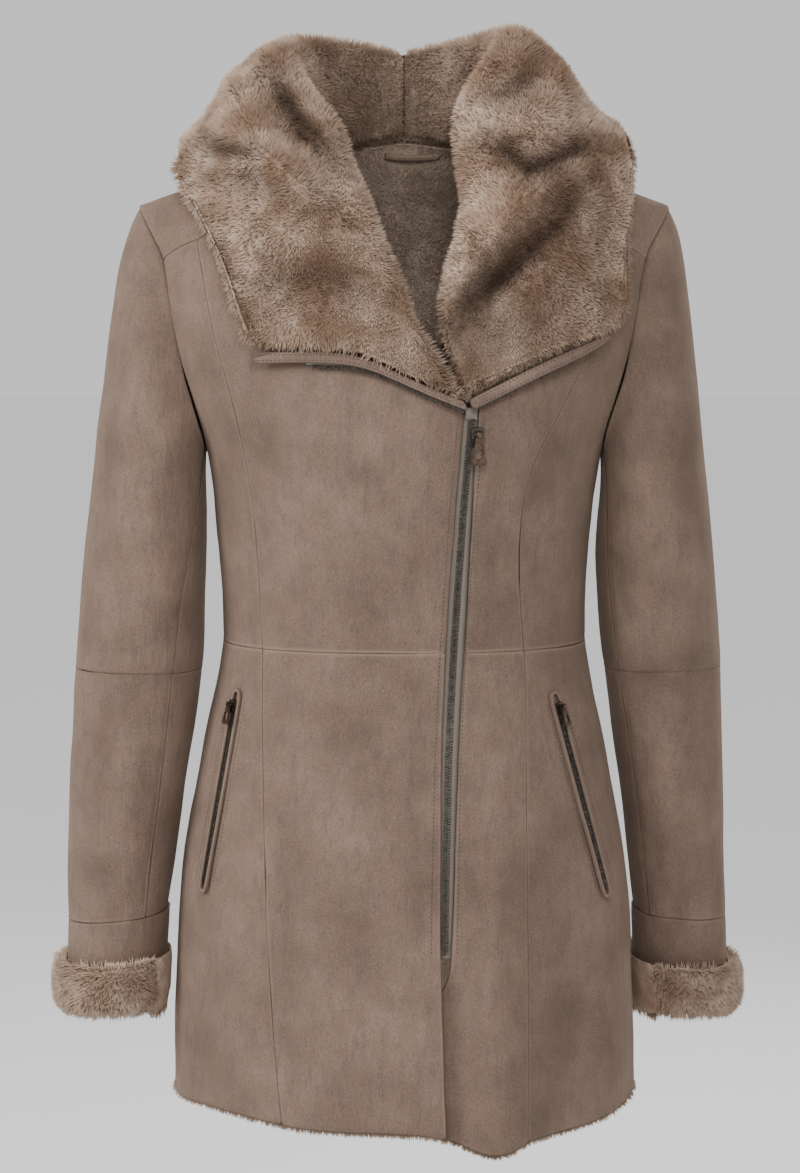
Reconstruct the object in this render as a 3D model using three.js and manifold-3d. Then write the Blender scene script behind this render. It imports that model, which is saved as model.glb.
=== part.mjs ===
// A women's fitted shearling coat with a large turned-back collar, an off-centre front zip,
// zipped pockets and turned-back fleece cuffs, filled out as it is worn, with nobody inside.
// Millimetres, +Z up, the front faces -Y. The origin is midway between the two side-neck points,
// where the wearer's shoulders hold the coat. Right and left are the wearer's.
import * as THREE from "three";
import Module from "manifold-3d";

const wasm = await Module();
wasm.setup();

// Driving sizes
const wall = 8; // suede skin and the clipped fleece behind it
const seam = 0.3; // between two sewn pieces
const armholeSeam = 0.6;
const seamDip = 0.9; // how far the suede turns in at a seam
const edgeShare = 0.035; // where that turn starts, as a share of the panel
const waist = 6; // ring number of the waist seam
const yokeAtArm = 13; // ring number where the yoke seam meets the armhole
const yokeAtPrincess = 13.45;
const yokeAtNeck = 15;
const neck = 18; // ring number of the neckline
const breakRing = 10.32; // ring number where the zip ends and the lapels turn out

const colours = {
  suede: { color: 0x877468, roughness: 0.95, metalness: 0 },
  fleece: { color: 0xb2967f, roughness: 1, metalness: 0 },
  tape: { color: 0x8d857c, roughness: 0.85, metalness: 0 },
  metal: { color: 0x3a3632, roughness: 0.35, metalness: 0.9 },
};

// Rings of the body from hem to neckline: half widths, heights, and how square each oval is
const rings = [
  { side: 191, front: 153, back: 139, sideZ: -771, frontZ: -776, backZ: -772, square: 2.15 },
  { side: 190, front: 149, back: 137, sideZ: -690, frontZ: -692, backZ: -690, square: 2.15 },
  { side: 186.5, front: 141, back: 132, sideZ: -608, frontZ: -608, backZ: -608, square: 2.15 },
  { side: 176.5, front: 130, back: 124, sideZ: -541, frontZ: -541, backZ: -541, square: 2.15 },
  { side: 164, front: 118, back: 112, sideZ: -480, frontZ: -480, backZ: -480, square: 2.15 },
  { side: 155, front: 109, back: 100, sideZ: -440, frontZ: -440, backZ: -440, square: 2.2 },
  { side: 149, front: 104, back: 92, sideZ: -401, frontZ: -401, backZ: -401, square: 2.2 },
  { side: 149.5, front: 109, back: 92, sideZ: -347, frontZ: -347, backZ: -347, square: 2.2 },
  { side: 153.5, front: 119, back: 97, sideZ: -300, frontZ: -300, backZ: -300, square: 2.25 },
  { side: 159, front: 127, back: 102, sideZ: -256, frontZ: -256, backZ: -256, square: 2.3 },
  { side: 169, front: 127, back: 105, sideZ: -222, frontZ: -222, backZ: -222, square: 2.3 },
  { side: 193, front: 120, back: 107, sideZ: -175, frontZ: -175, backZ: -175, square: 2.3 },
  { side: 206, front: 109, back: 105, sideZ: -130, frontZ: -132, backZ: -128, square: 2.3 },
  { side: 213, front: 97, back: 99, sideZ: -90, frontZ: -96, backZ: -82, square: 2.3 },
  { side: 215, front: 85, back: 90, sideZ: -50, frontZ: -68, backZ: -48, square: 2.3 },
  { side: 190, front: 77, back: 83, sideZ: -40, frontZ: -47, backZ: -28, square: 2.3 },
  { side: 150, front: 72, back: 78, sideZ: -25, frontZ: -33, backZ: -13, square: 2.2 },
  { side: 112, front: 69, back: 75, sideZ: -10, frontZ: -23, backZ: -2, square: 2.1 },
  { side: 84, front: 67, back: 73, sideZ: 0, frontZ: -15, backZ: 6, square: 2 },
];

// Soft folds of the skirt and bodice: where round the body, how wide, how far out, between which rings
const drape = [
  { fold: "placket roll", at: 291, wide: 9, out: 9, full: 0, gone: 4.2 },
  { fold: "tuck beside it", at: 309, wide: 5.5, out: -7, full: 0, gone: 4.6 },
  { fold: "right front dip", at: 264, wide: 9, out: -6, full: 0, gone: 3.2 },
  { fold: "right front roll", at: 243, wide: 11, out: 4, full: 0, gone: 3.6 },
  { fold: "left hip roll", at: 330, wide: 12, out: 3, full: 0, gone: 3.4 },
  { fold: "back roll", at: 70, wide: 12, out: 6, full: 0, gone: 4 },
  { fold: "back dip", at: 90, wide: 9, out: -5, full: 0, gone: 4 },
  { fold: "back roll, right", at: 111, wide: 12, out: 6, full: 0, gone: 4 },
  { fold: "back tuck, left", at: 45, wide: 8, out: -4, full: 0, gone: 3.6 },
  { fold: "back tuck, right", at: 137, wide: 8, out: -4, full: 0, gone: 3.6 },
];

// How far the hem hangs below its ring, round the body
const hang = [
  { edge: "placket corner", at: 289, wide: 9, down: 16 },
  { edge: "left front", at: 313, wide: 19, down: 9 },
  { edge: "right front", at: 226, wide: 20, down: -6 },
];

// Distance of each front seam from the middle, by height
const princess = [
  { z: -790, right: -93, left: 96 },
  { z: -723, right: -101, left: 96.5 },
  { z: -657, right: -105.5, left: 97 },
  { z: -608, right: -109, left: 97 },
  { z: -525, right: -112, left: 97 },
  { z: -443, right: -113.5, left: 97 },
  { z: -401, right: -113.5, left: 95.5 },
  { z: -356, right: -115, left: 91.5 },
  { z: -309, right: -118, left: 90 },
  { z: -278, right: -121.5, left: 95 },
  { z: -256, right: -124.5, left: 99.5 },
  { z: -222, right: -131.5, left: 117 },
  { z: -180, right: -142, left: 139 },
  { z: -140, right: -153, left: 154 },
  { z: -78, right: -164, left: 165 },
];

// The zip's two panel edges and its middle, by height
const zip = [
  { z: -790, right: 33.6, middle: 33, left: 34 },
  { z: -700, right: 30.2, middle: 31, left: 35.4 },
  { z: -640, right: 28.6, middle: 31.6, left: 36.6 },
  { z: -600, right: 28.7, middle: 32.3, left: 38.4 },
  { z: -480, right: 29.5, middle: 35.3, left: 43.2 },
  { z: -401, right: 32.3, middle: 39.3, left: 48.4 },
  { z: -357, right: 34.9, middle: 42, left: 50.6 },
  { z: -290, right: 40, middle: 46.4, left: 53.8 },
  { z: -256, right: 42.6, middle: 49, left: 55.6 },
  { z: -211, right: 46.6, middle: 52.8, left: 58 },
  { z: -160, right: 52, middle: 55, left: 58 },
  { z: 0, right: 66, middle: 58, left: 50 },
];

// The neckline down the front, from the zip to the side of the neck
const neckline = [
  { z: -214, right: 42, left: 59 },
  { z: -200, right: 31, left: 61 },
  { z: -180, right: 12, left: 62.5 },
  { z: -158, right: -8, left: 63.5 },
  { z: -125, right: -32, left: 62 },
  { z: -94, right: -45, left: 64 },
  { z: -50, right: -58, left: 69 },
  { z: -25, right: -61, left: 66 },
  { z: -5, right: -59, left: 60 },
];

// The armhole seen from the side
const armhole = { low: -248, high: -47.5, front: 57, back: 60, round: 0.86 };

// Sleeve sections from the armhole to the wrist: the outer and inner points of each ring, its middle
// and half depth, and where the front seam lies, in degrees from the inner point
const sleeves = {
  right: [
    { outerX: 224, outerZ: -69, innerX: 160.6, innerZ: -250.5, midY: 0, deep: 60, frontSeam: 14 },
    { outerX: 233, outerZ: -100, innerX: 161, innerZ: -256, midY: 0, deep: 63, frontSeam: 16 },
    { outerX: 240, outerZ: -148, innerX: 161, innerZ: -266, midY: 0, deep: 65, frontSeam: 20 },
    { outerX: 247, outerZ: -205, innerX: 160.5, innerZ: -285, midY: 0, deep: 65, frontSeam: 28 },
    { outerX: 255, outerZ: -265, innerX: 159.5, innerZ: -312, midY: 0, deep: 64, frontSeam: 38 },
    { outerX: 262, outerZ: -330, innerX: 159.5, innerZ: -350, midY: 0, deep: 62, frontSeam: 50 },
    { outerX: 269, outerZ: -408, innerX: 161, innerZ: -411, midY: 0, deep: 60, frontSeam: 58 },
    { outerX: 274, outerZ: -480, innerX: 171, innerZ: -478, midY: -1, deep: 57, frontSeam: 56 },
    { outerX: 277, outerZ: -550, innerX: 182, innerZ: -545, midY: -3, deep: 54, frontSeam: 55 },
    { outerX: 278, outerZ: -624, innerX: 191.5, innerZ: -616, midY: -5, deep: 51, frontSeam: 56 },
    { outerX: 278, outerZ: -679, innerX: 196, innerZ: -675, midY: -6, deep: 49, frontSeam: 56 },
    { outerX: 276, outerZ: -733, innerX: 198, innerZ: -729, midY: -6, deep: 49, frontSeam: 56 },
  ],
  left: [
    { outerX: 222, outerZ: -68, innerX: 160.6, innerZ: -250.5, midY: 0, deep: 60, frontSeam: 14 },
    { outerX: 229, outerZ: -100, innerX: 161, innerZ: -256, midY: 0, deep: 63, frontSeam: 16 },
    { outerX: 235, outerZ: -148, innerX: 161, innerZ: -266, midY: 0, deep: 65, frontSeam: 20 },
    { outerX: 240.5, outerZ: -205, innerX: 159, innerZ: -285, midY: 0, deep: 65, frontSeam: 28 },
    { outerX: 247, outerZ: -265, innerX: 156, innerZ: -312, midY: 0, deep: 64, frontSeam: 34 },
    { outerX: 254.5, outerZ: -330, innerX: 153.4, innerZ: -350, midY: 3, deep: 62, frontSeam: 38 },
    { outerX: 260.5, outerZ: -408, innerX: 161, innerZ: -411, midY: 12, deep: 60, frontSeam: 42 },
    { outerX: 263, outerZ: -480, innerX: 170.5, innerZ: -478, midY: 22, deep: 57, frontSeam: 44 },
    { outerX: 268, outerZ: -550, innerX: 182, innerZ: -545, midY: 30, deep: 54, frontSeam: 46 },
    { outerX: 270, outerZ: -630, innerX: 190, innerZ: -624, midY: 41, deep: 51, frontSeam: 50 },
    { outerX: 273, outerZ: -692, innerX: 193, innerZ: -688, midY: 50, deep: 49, frontSeam: 52 },
    { outerX: 276, outerZ: -748, innerX: 195, innerZ: -744, midY: 58, deep: 49, frontSeam: 52 },
  ],
};
const elbow = 7.2; // sleeve ring of the elbow seam, where 0 is the armhole and 1 the first row above
const bandTop = 10.1; // sleeve ring of the seam above the cuff band
const bandEnd = 11.3;
const backSeam = 298; // degrees round the sleeve

// Section of a turned-back fleece cuff: distance outside the sleeve and height above the band's end,
// for its fleece side and for the side next to the band
const cuff = [
  { fleeceOut: -7, fleeceUp: -11, backOut: -8.4, backUp: -1.2 },
  { fleeceOut: 1, fleeceUp: -15, backOut: -4, backUp: -1.2 },
  { fleeceOut: 8, fleeceUp: -11, backOut: 0.8, backUp: -1.2 },
  { fleeceOut: 12, fleeceUp: 0, backOut: 0.8, backUp: 5 },
  { fleeceOut: 13, fleeceUp: 13, backOut: 0.8, backUp: 14 },
  { fleeceOut: 12, fleeceUp: 25, backOut: 0.8, backUp: 24 },
  { fleeceOut: 8, fleeceUp: 33, backOut: 0.8, backUp: 31 },
];

// Stations of the collar's right half, from the foot of the lapel round to the centre back. It rises
// from the neckline, rolls over at the rim and falls to its edge. Ring and angle place its root,
// thick is half its thickness, roll the roll's radius, and a crease lies a share of the way down.
const collarRight = [
  {
    ring: 10.6, angle: 225, thick: 2.8, roll: 3.8, rimX: 44, rimY: -136, rimZ: -199,
    fallX: -45, fallY: -126, fallZ: -160, edgeX: -122, edgeY: -112, edgeZ: -161, crease: 0.5, deep: 0,
  },
  {
    ring: 11, angle: 225, thick: 5, roll: 6, rimX: 21, rimY: -139, rimZ: -158,
    fallX: -53, fallY: -130, fallZ: -136, edgeX: -130, edgeY: -109, edgeZ: -142, crease: 0.5, deep: 1,
  },
  {
    ring: 11.8, angle: 225, thick: 6.5, roll: 7.5, rimX: -3, rimY: -138, rimZ: -124,
    fallX: -72, fallY: -130, fallZ: -111, edgeX: -138, edgeY: -101, edgeZ: -117, crease: 0.4, deep: 2,
  },
  {
    ring: 12.8, angle: 225, thick: 7, roll: 9.5, rimX: -11, rimY: -131, rimZ: -94,
    fallX: -80, fallY: -128, fallZ: -83, edgeX: -148, edgeY: -91, edgeZ: -90, crease: 0.3, deep: 4,
  },
  {
    ring: 14.6, angle: 225, thick: 7, roll: 12, rimX: -31, rimY: -115, rimZ: -46,
    fallX: -92, fallY: -120, fallZ: -42, edgeX: -162, edgeY: -74, edgeZ: -62, crease: 0.35, deep: 3,
  },
  {
    ring: 16.6, angle: 225, thick: 7, roll: 15, rimX: -53, rimY: -93, rimZ: -13,
    fallX: -112, fallY: -108, fallZ: -12, edgeX: -175, edgeY: -48, edgeZ: -38, crease: 0.45, deep: 4,
  },
  {
    ring: 18, angle: 225, thick: 7, roll: 18, rimX: -78, rimY: -60, rimZ: 20,
    fallX: -132, fallY: -76, fallZ: 12, edgeX: -182, edgeY: -22, edgeZ: -14, crease: 0.55, deep: 11,
  },
  {
    ring: 18, angle: 190, thick: 7.5, roll: 21, rimX: -110, rimY: -16, rimZ: 64,
    fallX: -149, fallY: -14, fallZ: 44, edgeX: -178, edgeY: 18, edgeZ: 2, crease: 0.68, deep: 15,
  },
  {
    ring: 18, angle: 155, thick: 7.5, roll: 21, rimX: -116, rimY: 40, rimZ: 90,
    fallX: -144, fallY: 62, fallZ: 56, edgeX: -148, edgeY: 70, edgeZ: 6, crease: 0.6, deep: 6,
  },
  {
    ring: 18, angle: 122, thick: 7.5, roll: 14, rimX: -60, rimY: 84, rimZ: 95,
    fallX: -82, fallY: 112, fallZ: 60, edgeX: -92, edgeY: 122, edgeZ: -10, crease: 0.6, deep: 2,
  },
  {
    ring: 18, angle: 90, thick: 7.5, roll: 13, rimX: 0, rimY: 95, rimZ: 82,
    fallX: 0, fallY: 122, fallZ: 52, edgeX: 0, edgeY: 134, edgeZ: -20, crease: 0.6, deep: 0,
  },
];
const collarLeft = [
  {
    ring: 10.6, angle: 315, thick: 2.8, roll: 3.8, rimX: 49, rimY: -130, rimZ: -198,
    fallX: 111, fallY: -118, fallZ: -168, edgeX: 168, edgeY: -94, edgeZ: -145, crease: 0.3, deep: 0,
  },
  {
    ring: 11, angle: 315, thick: 5, roll: 5.6, rimX: 33, rimY: -128, rimZ: -158,
    fallX: 103, fallY: -124, fallZ: -137, edgeX: 177, edgeY: -88, edgeZ: -131, crease: 0.26, deep: 4,
  },
  {
    ring: 11.8, angle: 315, thick: 6.5, roll: 7.5, rimX: 27, rimY: -129, rimZ: -126,
    fallX: 103, fallY: -122, fallZ: -101, edgeX: 178, edgeY: -80, edgeZ: -99, crease: 0.3, deep: 8,
  },
  {
    ring: 12.8, angle: 315, thick: 7, roll: 10, rimX: 34, rimY: -122, rimZ: -96,
    fallX: 112, fallY: -118, fallZ: -73, edgeX: 178, edgeY: -71, edgeZ: -72, crease: 0.42, deep: 11,
  },
  {
    ring: 14.6, angle: 315, thick: 7, roll: 13, rimX: 53, rimY: -102, rimZ: -46,
    fallX: 124, fallY: -104, fallZ: -42, edgeX: 184, edgeY: -54, edgeZ: -36, crease: 0.62, deep: 12,
  },
  {
    ring: 16.6, angle: 315, thick: 7, roll: 16, rimX: 48, rimY: -70, rimZ: -4,
    fallX: 123, fallY: -86, fallZ: -6, edgeX: 185, edgeY: -20, edgeZ: -3, crease: 0.66, deep: 12,
  },
  {
    ring: 18, angle: 315, thick: 7, roll: 19, rimX: 60, rimY: -28, rimZ: 46,
    fallX: 134, fallY: -46, fallZ: 28, edgeX: 178, edgeY: 18, edgeZ: 14, crease: 0.7, deep: 13,
  },
  {
    ring: 18, angle: 350, thick: 7.5, roll: 21, rimX: 98, rimY: 10, rimZ: 97,
    fallX: 141, fallY: 14, fallZ: 56, edgeX: 160, edgeY: 54, edgeZ: 16, crease: 0.66, deep: 8,
  },
  {
    ring: 18, angle: 385, thick: 7.5, roll: 19, rimX: 86, rimY: 52, rimZ: 101,
    fallX: 116, fallY: 84, fallZ: 64, edgeX: 124, edgeY: 96, edgeZ: 4, crease: 0.6, deep: 4,
  },
  {
    ring: 18, angle: 418, thick: 7.5, roll: 14, rimX: 42, rimY: 84, rimZ: 93,
    fallX: 60, fallY: 112, fallZ: 60, edgeX: 70, edgeY: 126, edgeZ: -12, crease: 0.6, deep: 2,
  },
  {
    ring: 18, angle: 450, thick: 7.5, roll: 13, rimX: 0, rimY: 95, rimZ: 82,
    fallX: 0, fallY: 122, fallZ: 52, edgeX: 0, edgeY: 134, edgeZ: -20, crease: 0.6, deep: 0,
  },
];
// Lines of the two pocket zips: distance from the middle at their upper and lower ends
const pockets = {
  right: { topX: 134, topZ: -441, footX: 160.5, footZ: -592 },
  left: { topX: 120, topZ: -441, footX: 161.5, footZ: -596 },
};

function clamp(v, low, high) {
  return Math.min(Math.max(v, low), high);
}

function smooth(v) {
  const s = clamp(v, 0, 1);
  return s * s * (3 - 2 * s);
}

// A smooth curve through evenly numbered values
function through(values, t) {
  const last = values.length - 1;
  const i = clamp(Math.floor(t), 0, last - 1);
  const f = t - i;
  const [b, c] = [values[i], values[i + 1]];
  const a = i > 0 ? values[i - 1] : 2 * b - c;
  const d = i + 2 <= last ? values[i + 2] : 2 * c - b;
  return b + 0.5 * f * (c - a + f * (2 * a - 5 * b + 4 * c - d + f * (3 * (b - c) + d - a)));
}

// A smooth curve through the rows of a table that is ordered by height
function byHeight(rows, z, key) {
  const last = rows.length - 1;
  let i = 0;
  while (i < last - 1 && rows[i + 1].z <= z) i++;
  const slope = (k) => {
    const [a, b] = [rows[Math.max(k - 1, 0)], rows[Math.min(k + 1, last)]];
    return (b[key] - a[key]) / (b.z - a.z);
  };
  const [a, b] = [rows[i], rows[i + 1]];
  const step = b.z - a.z;
  const f = (z - a.z) / step;
  if (f < 0) return a[key] + slope(0) * (z - a.z);
  if (f > 1) return b[key] + slope(last) * (z - b.z);
  const [f2, f3] = [f * f, f * f * f];
  return (
    (2 * f3 - 3 * f2 + 1) * a[key] +
    (f3 - 2 * f2 + f) * step * slope(i) +
    (3 * f2 - 2 * f3) * b[key] +
    (f3 - f2) * step * slope(i + 1)
  );
}

const ringKeys = ["side", "front", "back", "sideZ", "frontZ", "backZ", "square"];
const ringColumns = Object.fromEntries(ringKeys.map((k) => [k, rings.map((r) => r[k])]));

function ringAt(t) {
  return Object.fromEntries(ringKeys.map((k) => [k, through(ringColumns[k], t)]));
}

function power(v, p) {
  return Math.sign(v) * Math.abs(v) ** p;
}

function drapeAt(angle, t) {
  let out = 0;
  for (const d of drape) {
    const away = (((angle - d.at + 540) % 360) - 180) / d.wide;
    out += d.out * Math.exp(-away * away) * smooth((d.gone - t) / (d.gone - d.full));
  }
  return out;
}

function hangAt(angle, t) {
  let down = 0;
  for (const h of hang) {
    const away = (((angle - h.at + 540) % 360) - 180) / h.wide;
    down += h.down * Math.exp(-away * away);
  }
  return down * smooth(1 - t / 1.3);
}

// A point of the body's outer surface: angle 0 is the left side, 90 the back, 270 the front
function body(angle, t) {
  const r = ringAt(t);
  const [c, s] = [Math.cos((angle * Math.PI) / 180), Math.sin((angle * Math.PI) / 180)];
  const out = drapeAt(angle, t);
  return new THREE.Vector3(
    r.side * power(c, 2 / r.square) + out * c,
    (s < 0 ? r.front : r.back) * power(s, 2 / r.square) + out * s,
    r.sideZ * c * c + (s < 0 ? r.frontZ : r.backZ) * s * s - hangAt(angle, t),
  );
}

// The outward normal of a surface whose first number runs anticlockwise and whose second runs up
function normalOf(surface, u, v, du = 0.4, dv = 0.02) {
  const across = surface(u + du, v).sub(surface(u - du, v));
  const up = surface(u, v + dv).sub(surface(u, v - dv));
  return across.cross(up).normalize();
}

// The angle at which a ring passes a front line given as x by height
function frontAngle(t, xByHeight) {
  const r = ringAt(t);
  let z = r.frontZ;
  let angle = 270;
  for (let i = 0; i < 6; i++) {
    const c = clamp(power(xByHeight(z) / r.side, r.square / 2), -0.999, 0.999);
    angle = 360 - (Math.acos(c) * 180) / Math.PI;
    z = r.sideZ * c * c + r.frontZ * (1 - c * c);
  }
  return angle;
}

// The ring number at which a front line x by height reaches a height
function ringOnFront(z, xByHeight) {
  let [low, high] = [0, neck];
  for (let i = 0; i < 40; i++) {
    const t = (low + high) / 2;
    if (body(frontAngle(t, xByHeight), t).z < z) low = t;
    else high = t;
  }
  return (low + high) / 2;
}

// The armhole seam on the left half: turn 0 is the underarm, 90 the front, 180 the shoulder
function armholeAt(turn) {
  const a = (turn * Math.PI) / 180;
  const z = armhole.low + ((armhole.high - armhole.low) * (1 - Math.cos(a))) / 2;
  const deep = Math.sin(a) > 0 ? armhole.front : armhole.back;
  const y = -deep * power(Math.sin(a), armhole.round);
  let [low, high] = [8, 15];
  let angle = 0;
  for (let i = 0; i < 40; i++) {
    const t = (low + high) / 2;
    const r = ringAt(t);
    const s = clamp(power(y / (y < 0 ? r.front : r.back), r.square / 2), -0.999, 0.999);
    angle = (Math.asin(s) * 180) / Math.PI;
    if (body(angle, t).z < z) low = t;
    else high = t;
  }
  return { angle: (angle + 360) % 360, t: (low + high) / 2 };
}

// A closed wall between a grid of outer points and a grid of inner points.
// Rows run up and columns run anticlockwise; a tube joins its last column to its first.
function wallGeometry(outer, inner, tube = false) {
  const [rows, cols] = [outer.length, outer[0].length];
  const points = [...outer.flat(), ...inner.flat()];
  const at = (side, i, j) => side * rows * cols + i * cols + (j % cols);
  const index = [];
  const quad = (a, b, c, d) => index.push(a, b, c, a, c, d);
  const spans = tube ? cols : cols - 1;
  for (let i = 0; i < rows - 1; i++) {
    for (let j = 0; j < spans; j++) {
      quad(at(0, i, j), at(0, i, j + 1), at(0, i + 1, j + 1), at(0, i + 1, j));
      quad(at(1, i, j), at(1, i + 1, j), at(1, i + 1, j + 1), at(1, i, j + 1));
    }
    if (!tube) {
      const e = cols - 1;
      quad(at(0, i, 0), at(0, i + 1, 0), at(1, i + 1, 0), at(1, i, 0));
      quad(at(0, i, e), at(1, i, e), at(1, i + 1, e), at(0, i + 1, e));
    }
  }
  for (let j = 0; j < spans; j++) {
    const e = rows - 1;
    quad(at(0, 0, j), at(1, 0, j), at(1, 0, j + 1), at(0, 0, j + 1));
    quad(at(0, e, j), at(0, e, j + 1), at(1, e, j + 1), at(1, e, j));
  }
  const geometry = new THREE.BufferGeometry();
  geometry.setAttribute(
    "position",
    new THREE.Float32BufferAttribute(points.flatMap((p) => [p.x, p.y, p.z]), 3),
  );
  geometry.setIndex(index);
  return geometry;
}

// A closed geometry with its faces turned outwards, whichever way its grid ran
function faceOut(geometry) {
  const p = geometry.attributes.position;
  const index = geometry.index.array;
  const corner = (i) => new THREE.Vector3().fromBufferAttribute(p, index[i]);
  let volume = 0;
  for (let i = 0; i < index.length; i += 3) {
    volume += corner(i).dot(corner(i + 1).cross(corner(i + 2)));
  }
  if (volume > 0) return geometry;
  for (let i = 0; i < index.length; i += 3) {
    [index[i + 1], index[i + 2]] = [index[i + 2], index[i + 1]];
  }
  return geometry;
}

// The other hand of a geometry, with its faces turned back outwards
function mirrored(geometry) {
  const made = geometry.clone().scale(-1, 1, 1);
  const index = made.index.array;
  for (let i = 0; i < index.length; i += 3) {
    [index[i + 1], index[i + 2]] = [index[i + 2], index[i + 1]];
  }
  return made;
}

const coat = new THREE.Group();
coat.name = "shearling_coat";

function add(name, geometry, finish, parent = coat) {
  const mesh = new THREE.Mesh(geometry, new THREE.MeshStandardMaterial(colours[finish]));
  mesh.name = name;
  parent.add(mesh);
  return mesh;
}

// Even shares across a panel, with one more just inside each sewn edge
function shares(count, first = true, last = true) {
  const even = Array.from({ length: count + 1 }, (_, i) => i / count);
  if (first) even.splice(1, 0, edgeShare);
  if (last) even.splice(even.length - 1, 0, 1 - edgeShare);
  return even;
}

// A body panel between a left and a right seam, given as angles by ring, from bottom to top ring.
// Each column holds its share across the panel at its top, the share at its foot where that
// differs, and its own bottom and top ring.
const grids = {};
function addPanel(name, spec, finish = "suede") {
  const { left, right, columns, rows, sewn, sink = () => 0, thick = wall } = spec;
  const half = seam / 2;
  const outer = [];
  const inner = [];
  for (const [i, up] of rows.entries()) {
    outer.push([]);
    inner.push([]);
    for (const [j, column] of columns.entries()) {
      const ends = [i === 0, i === rows.length - 1];
      let t = column.bottom + up * (column.top - column.bottom);
      const rise = body(left(t), t + 0.01).distanceTo(body(left(t), t - 0.01)) / 0.02;
      if (ends[0] && sewn.bottom) t += half / rise;
      if (ends[1] && sewn.top) t -= half / rise;
      const [from, to] = [left(t), right(t)];
      const foot = column.foot ?? column.share;
      let angle = from + (foot + (column.share - foot) * up) * (to - from);
      const run = body(angle + 0.2, t).distanceTo(body(angle - 0.2, t)) / 0.4;
      const sides = [j === 0, j === columns.length - 1];
      if (sides[0] && sewn.left) angle += half / run;
      if (sides[1] && sewn.right) angle -= half / run;
      const n = normalOf(body, angle, t);
      const p = body(angle, t);
      const turned =
        (ends[0] && sewn.bottom) ||
        (ends[1] && sewn.top) ||
        (sides[0] && sewn.left) ||
        (sides[1] && sewn.right);
      const depth = sink(p);
      outer[i].push(p.clone().addScaledVector(n, -depth - (turned ? seamDip : 0)));
      inner[i].push(p.clone().addScaledVector(n, -depth - thick));
    }
  }
  grids[name] = outer;
  add(name, wallGeometry(outer, inner), finish);
}

function level(list, bottom, top) {
  return list.map((share) => ({ share, bottom, top }));
}

const xOf = (rows, key) => (z) => byHeight(rows, z, key);
const princessRight = (t) => frontAngle(t, xOf(princess, "right"));
const princessLeft = (t) => frontAngle(t, xOf(princess, "left"));
const zipRight = (t) => frontAngle(t, xOf(zip, "right"));
const zipLeft = (t) => frontAngle(t, xOf(zip, "left"));
const backPrincess = (t) => 90 - through([31, 31, 31, 30, 29, 28, 28, 28, 29, 31, 34, 37, 39, 40, 40], t);

// The armhole as an angle by ring, on the front and on the back of the left half
const underarm = armholeAt(0).t;
function armholeSide(from, to) {
  const samples = Array.from({ length: 61 }, (_, i) => armholeAt(from + ((to - from) * i) / 60));
  return (t) => {
    if (t <= samples[0].t) return 0;
    const i = clamp(samples.findIndex((p) => p.t >= t), 1, samples.length - 1);
    const [a, b] = [samples[i - 1], samples[i]];
    const signed = (v) => (v > 180 ? v - 360 : v);
    const f = clamp((t - a.t) / (b.t - a.t), 0, 1);
    return signed(a.angle) + f * (signed(b.angle) - signed(a.angle));
  };
}
const armholeFront = armholeSide(0, 180);
const armholeBack = armholeSide(360, 180);

// Heights at which the panels have their rows
const skirtRows = [0, 0.03, 0.17, 0.34, 0.5, 0.67, 0.83, 0.97, 1];
const armRings = [20, 42, 62, 82, 101].map((turn) => armholeAt(turn).t);
const bodiceRings = [waist, waist + 0.1, 7, 8, 8.7, underarm, ...armRings];
const bodiceRows = [...bodiceRings, yokeAtArm - 0.06, yokeAtArm].map(
  (t) => (t - waist) / (yokeAtArm - waist),
);
const shoulder = armholeAt(180).t;
const yokeRings = [0.15, 0.45, 0.75, 0.95].map((up) => yokeAtArm + up).filter((t) => t < shoulder - 0.05);
const armholeRings = [...armRings, yokeAtArm, ...yokeRings];

// The turn round the armhole, from the underarm, at which its seam reaches a ring
function turnAtRing(ring, from, to) {
  let [low, high] = [from, to];
  for (let i = 0; i < 30; i++) {
    const turn = (low + high) / 2;
    if (armholeAt(turn).t < ring) low = turn;
    else high = turn;
  }
  return (low + high) / 2;
}
const frontTurns = armholeRings.map((ring) => turnAtRing(ring, 0, 180));
const backTurns = armholeRings.map((ring) => turnAtRing(ring, 360, 180));
const armholeTurns = [0, ...frontTurns, 180, ...backTurns.reverse(), 360];
const allSewn = { left: true, right: true, top: true, bottom: true };
const hemSewn = { left: true, right: true, top: true, bottom: false };

// Below the zip the left front passes under the right front
function underlap(p) {
  const down = smooth((-636 - p.z) / 24);
  const near = smooth((byHeight(zip, p.z, "right") + 50 - p.x) / 40);
  return 9.6 * down * near;
}
const underlapReach = 22;
function zipLeftOrUnderlap(t) {
  return frontAngle(t, (z) => {
    const reach = smooth((-664 - z) / 16) * (underlapReach + 5);
    return byHeight(zip, z, "left") - reach;
  });
}

const zipFoot = ringOnFront(-637, xOf(zip, "middle"));

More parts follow.
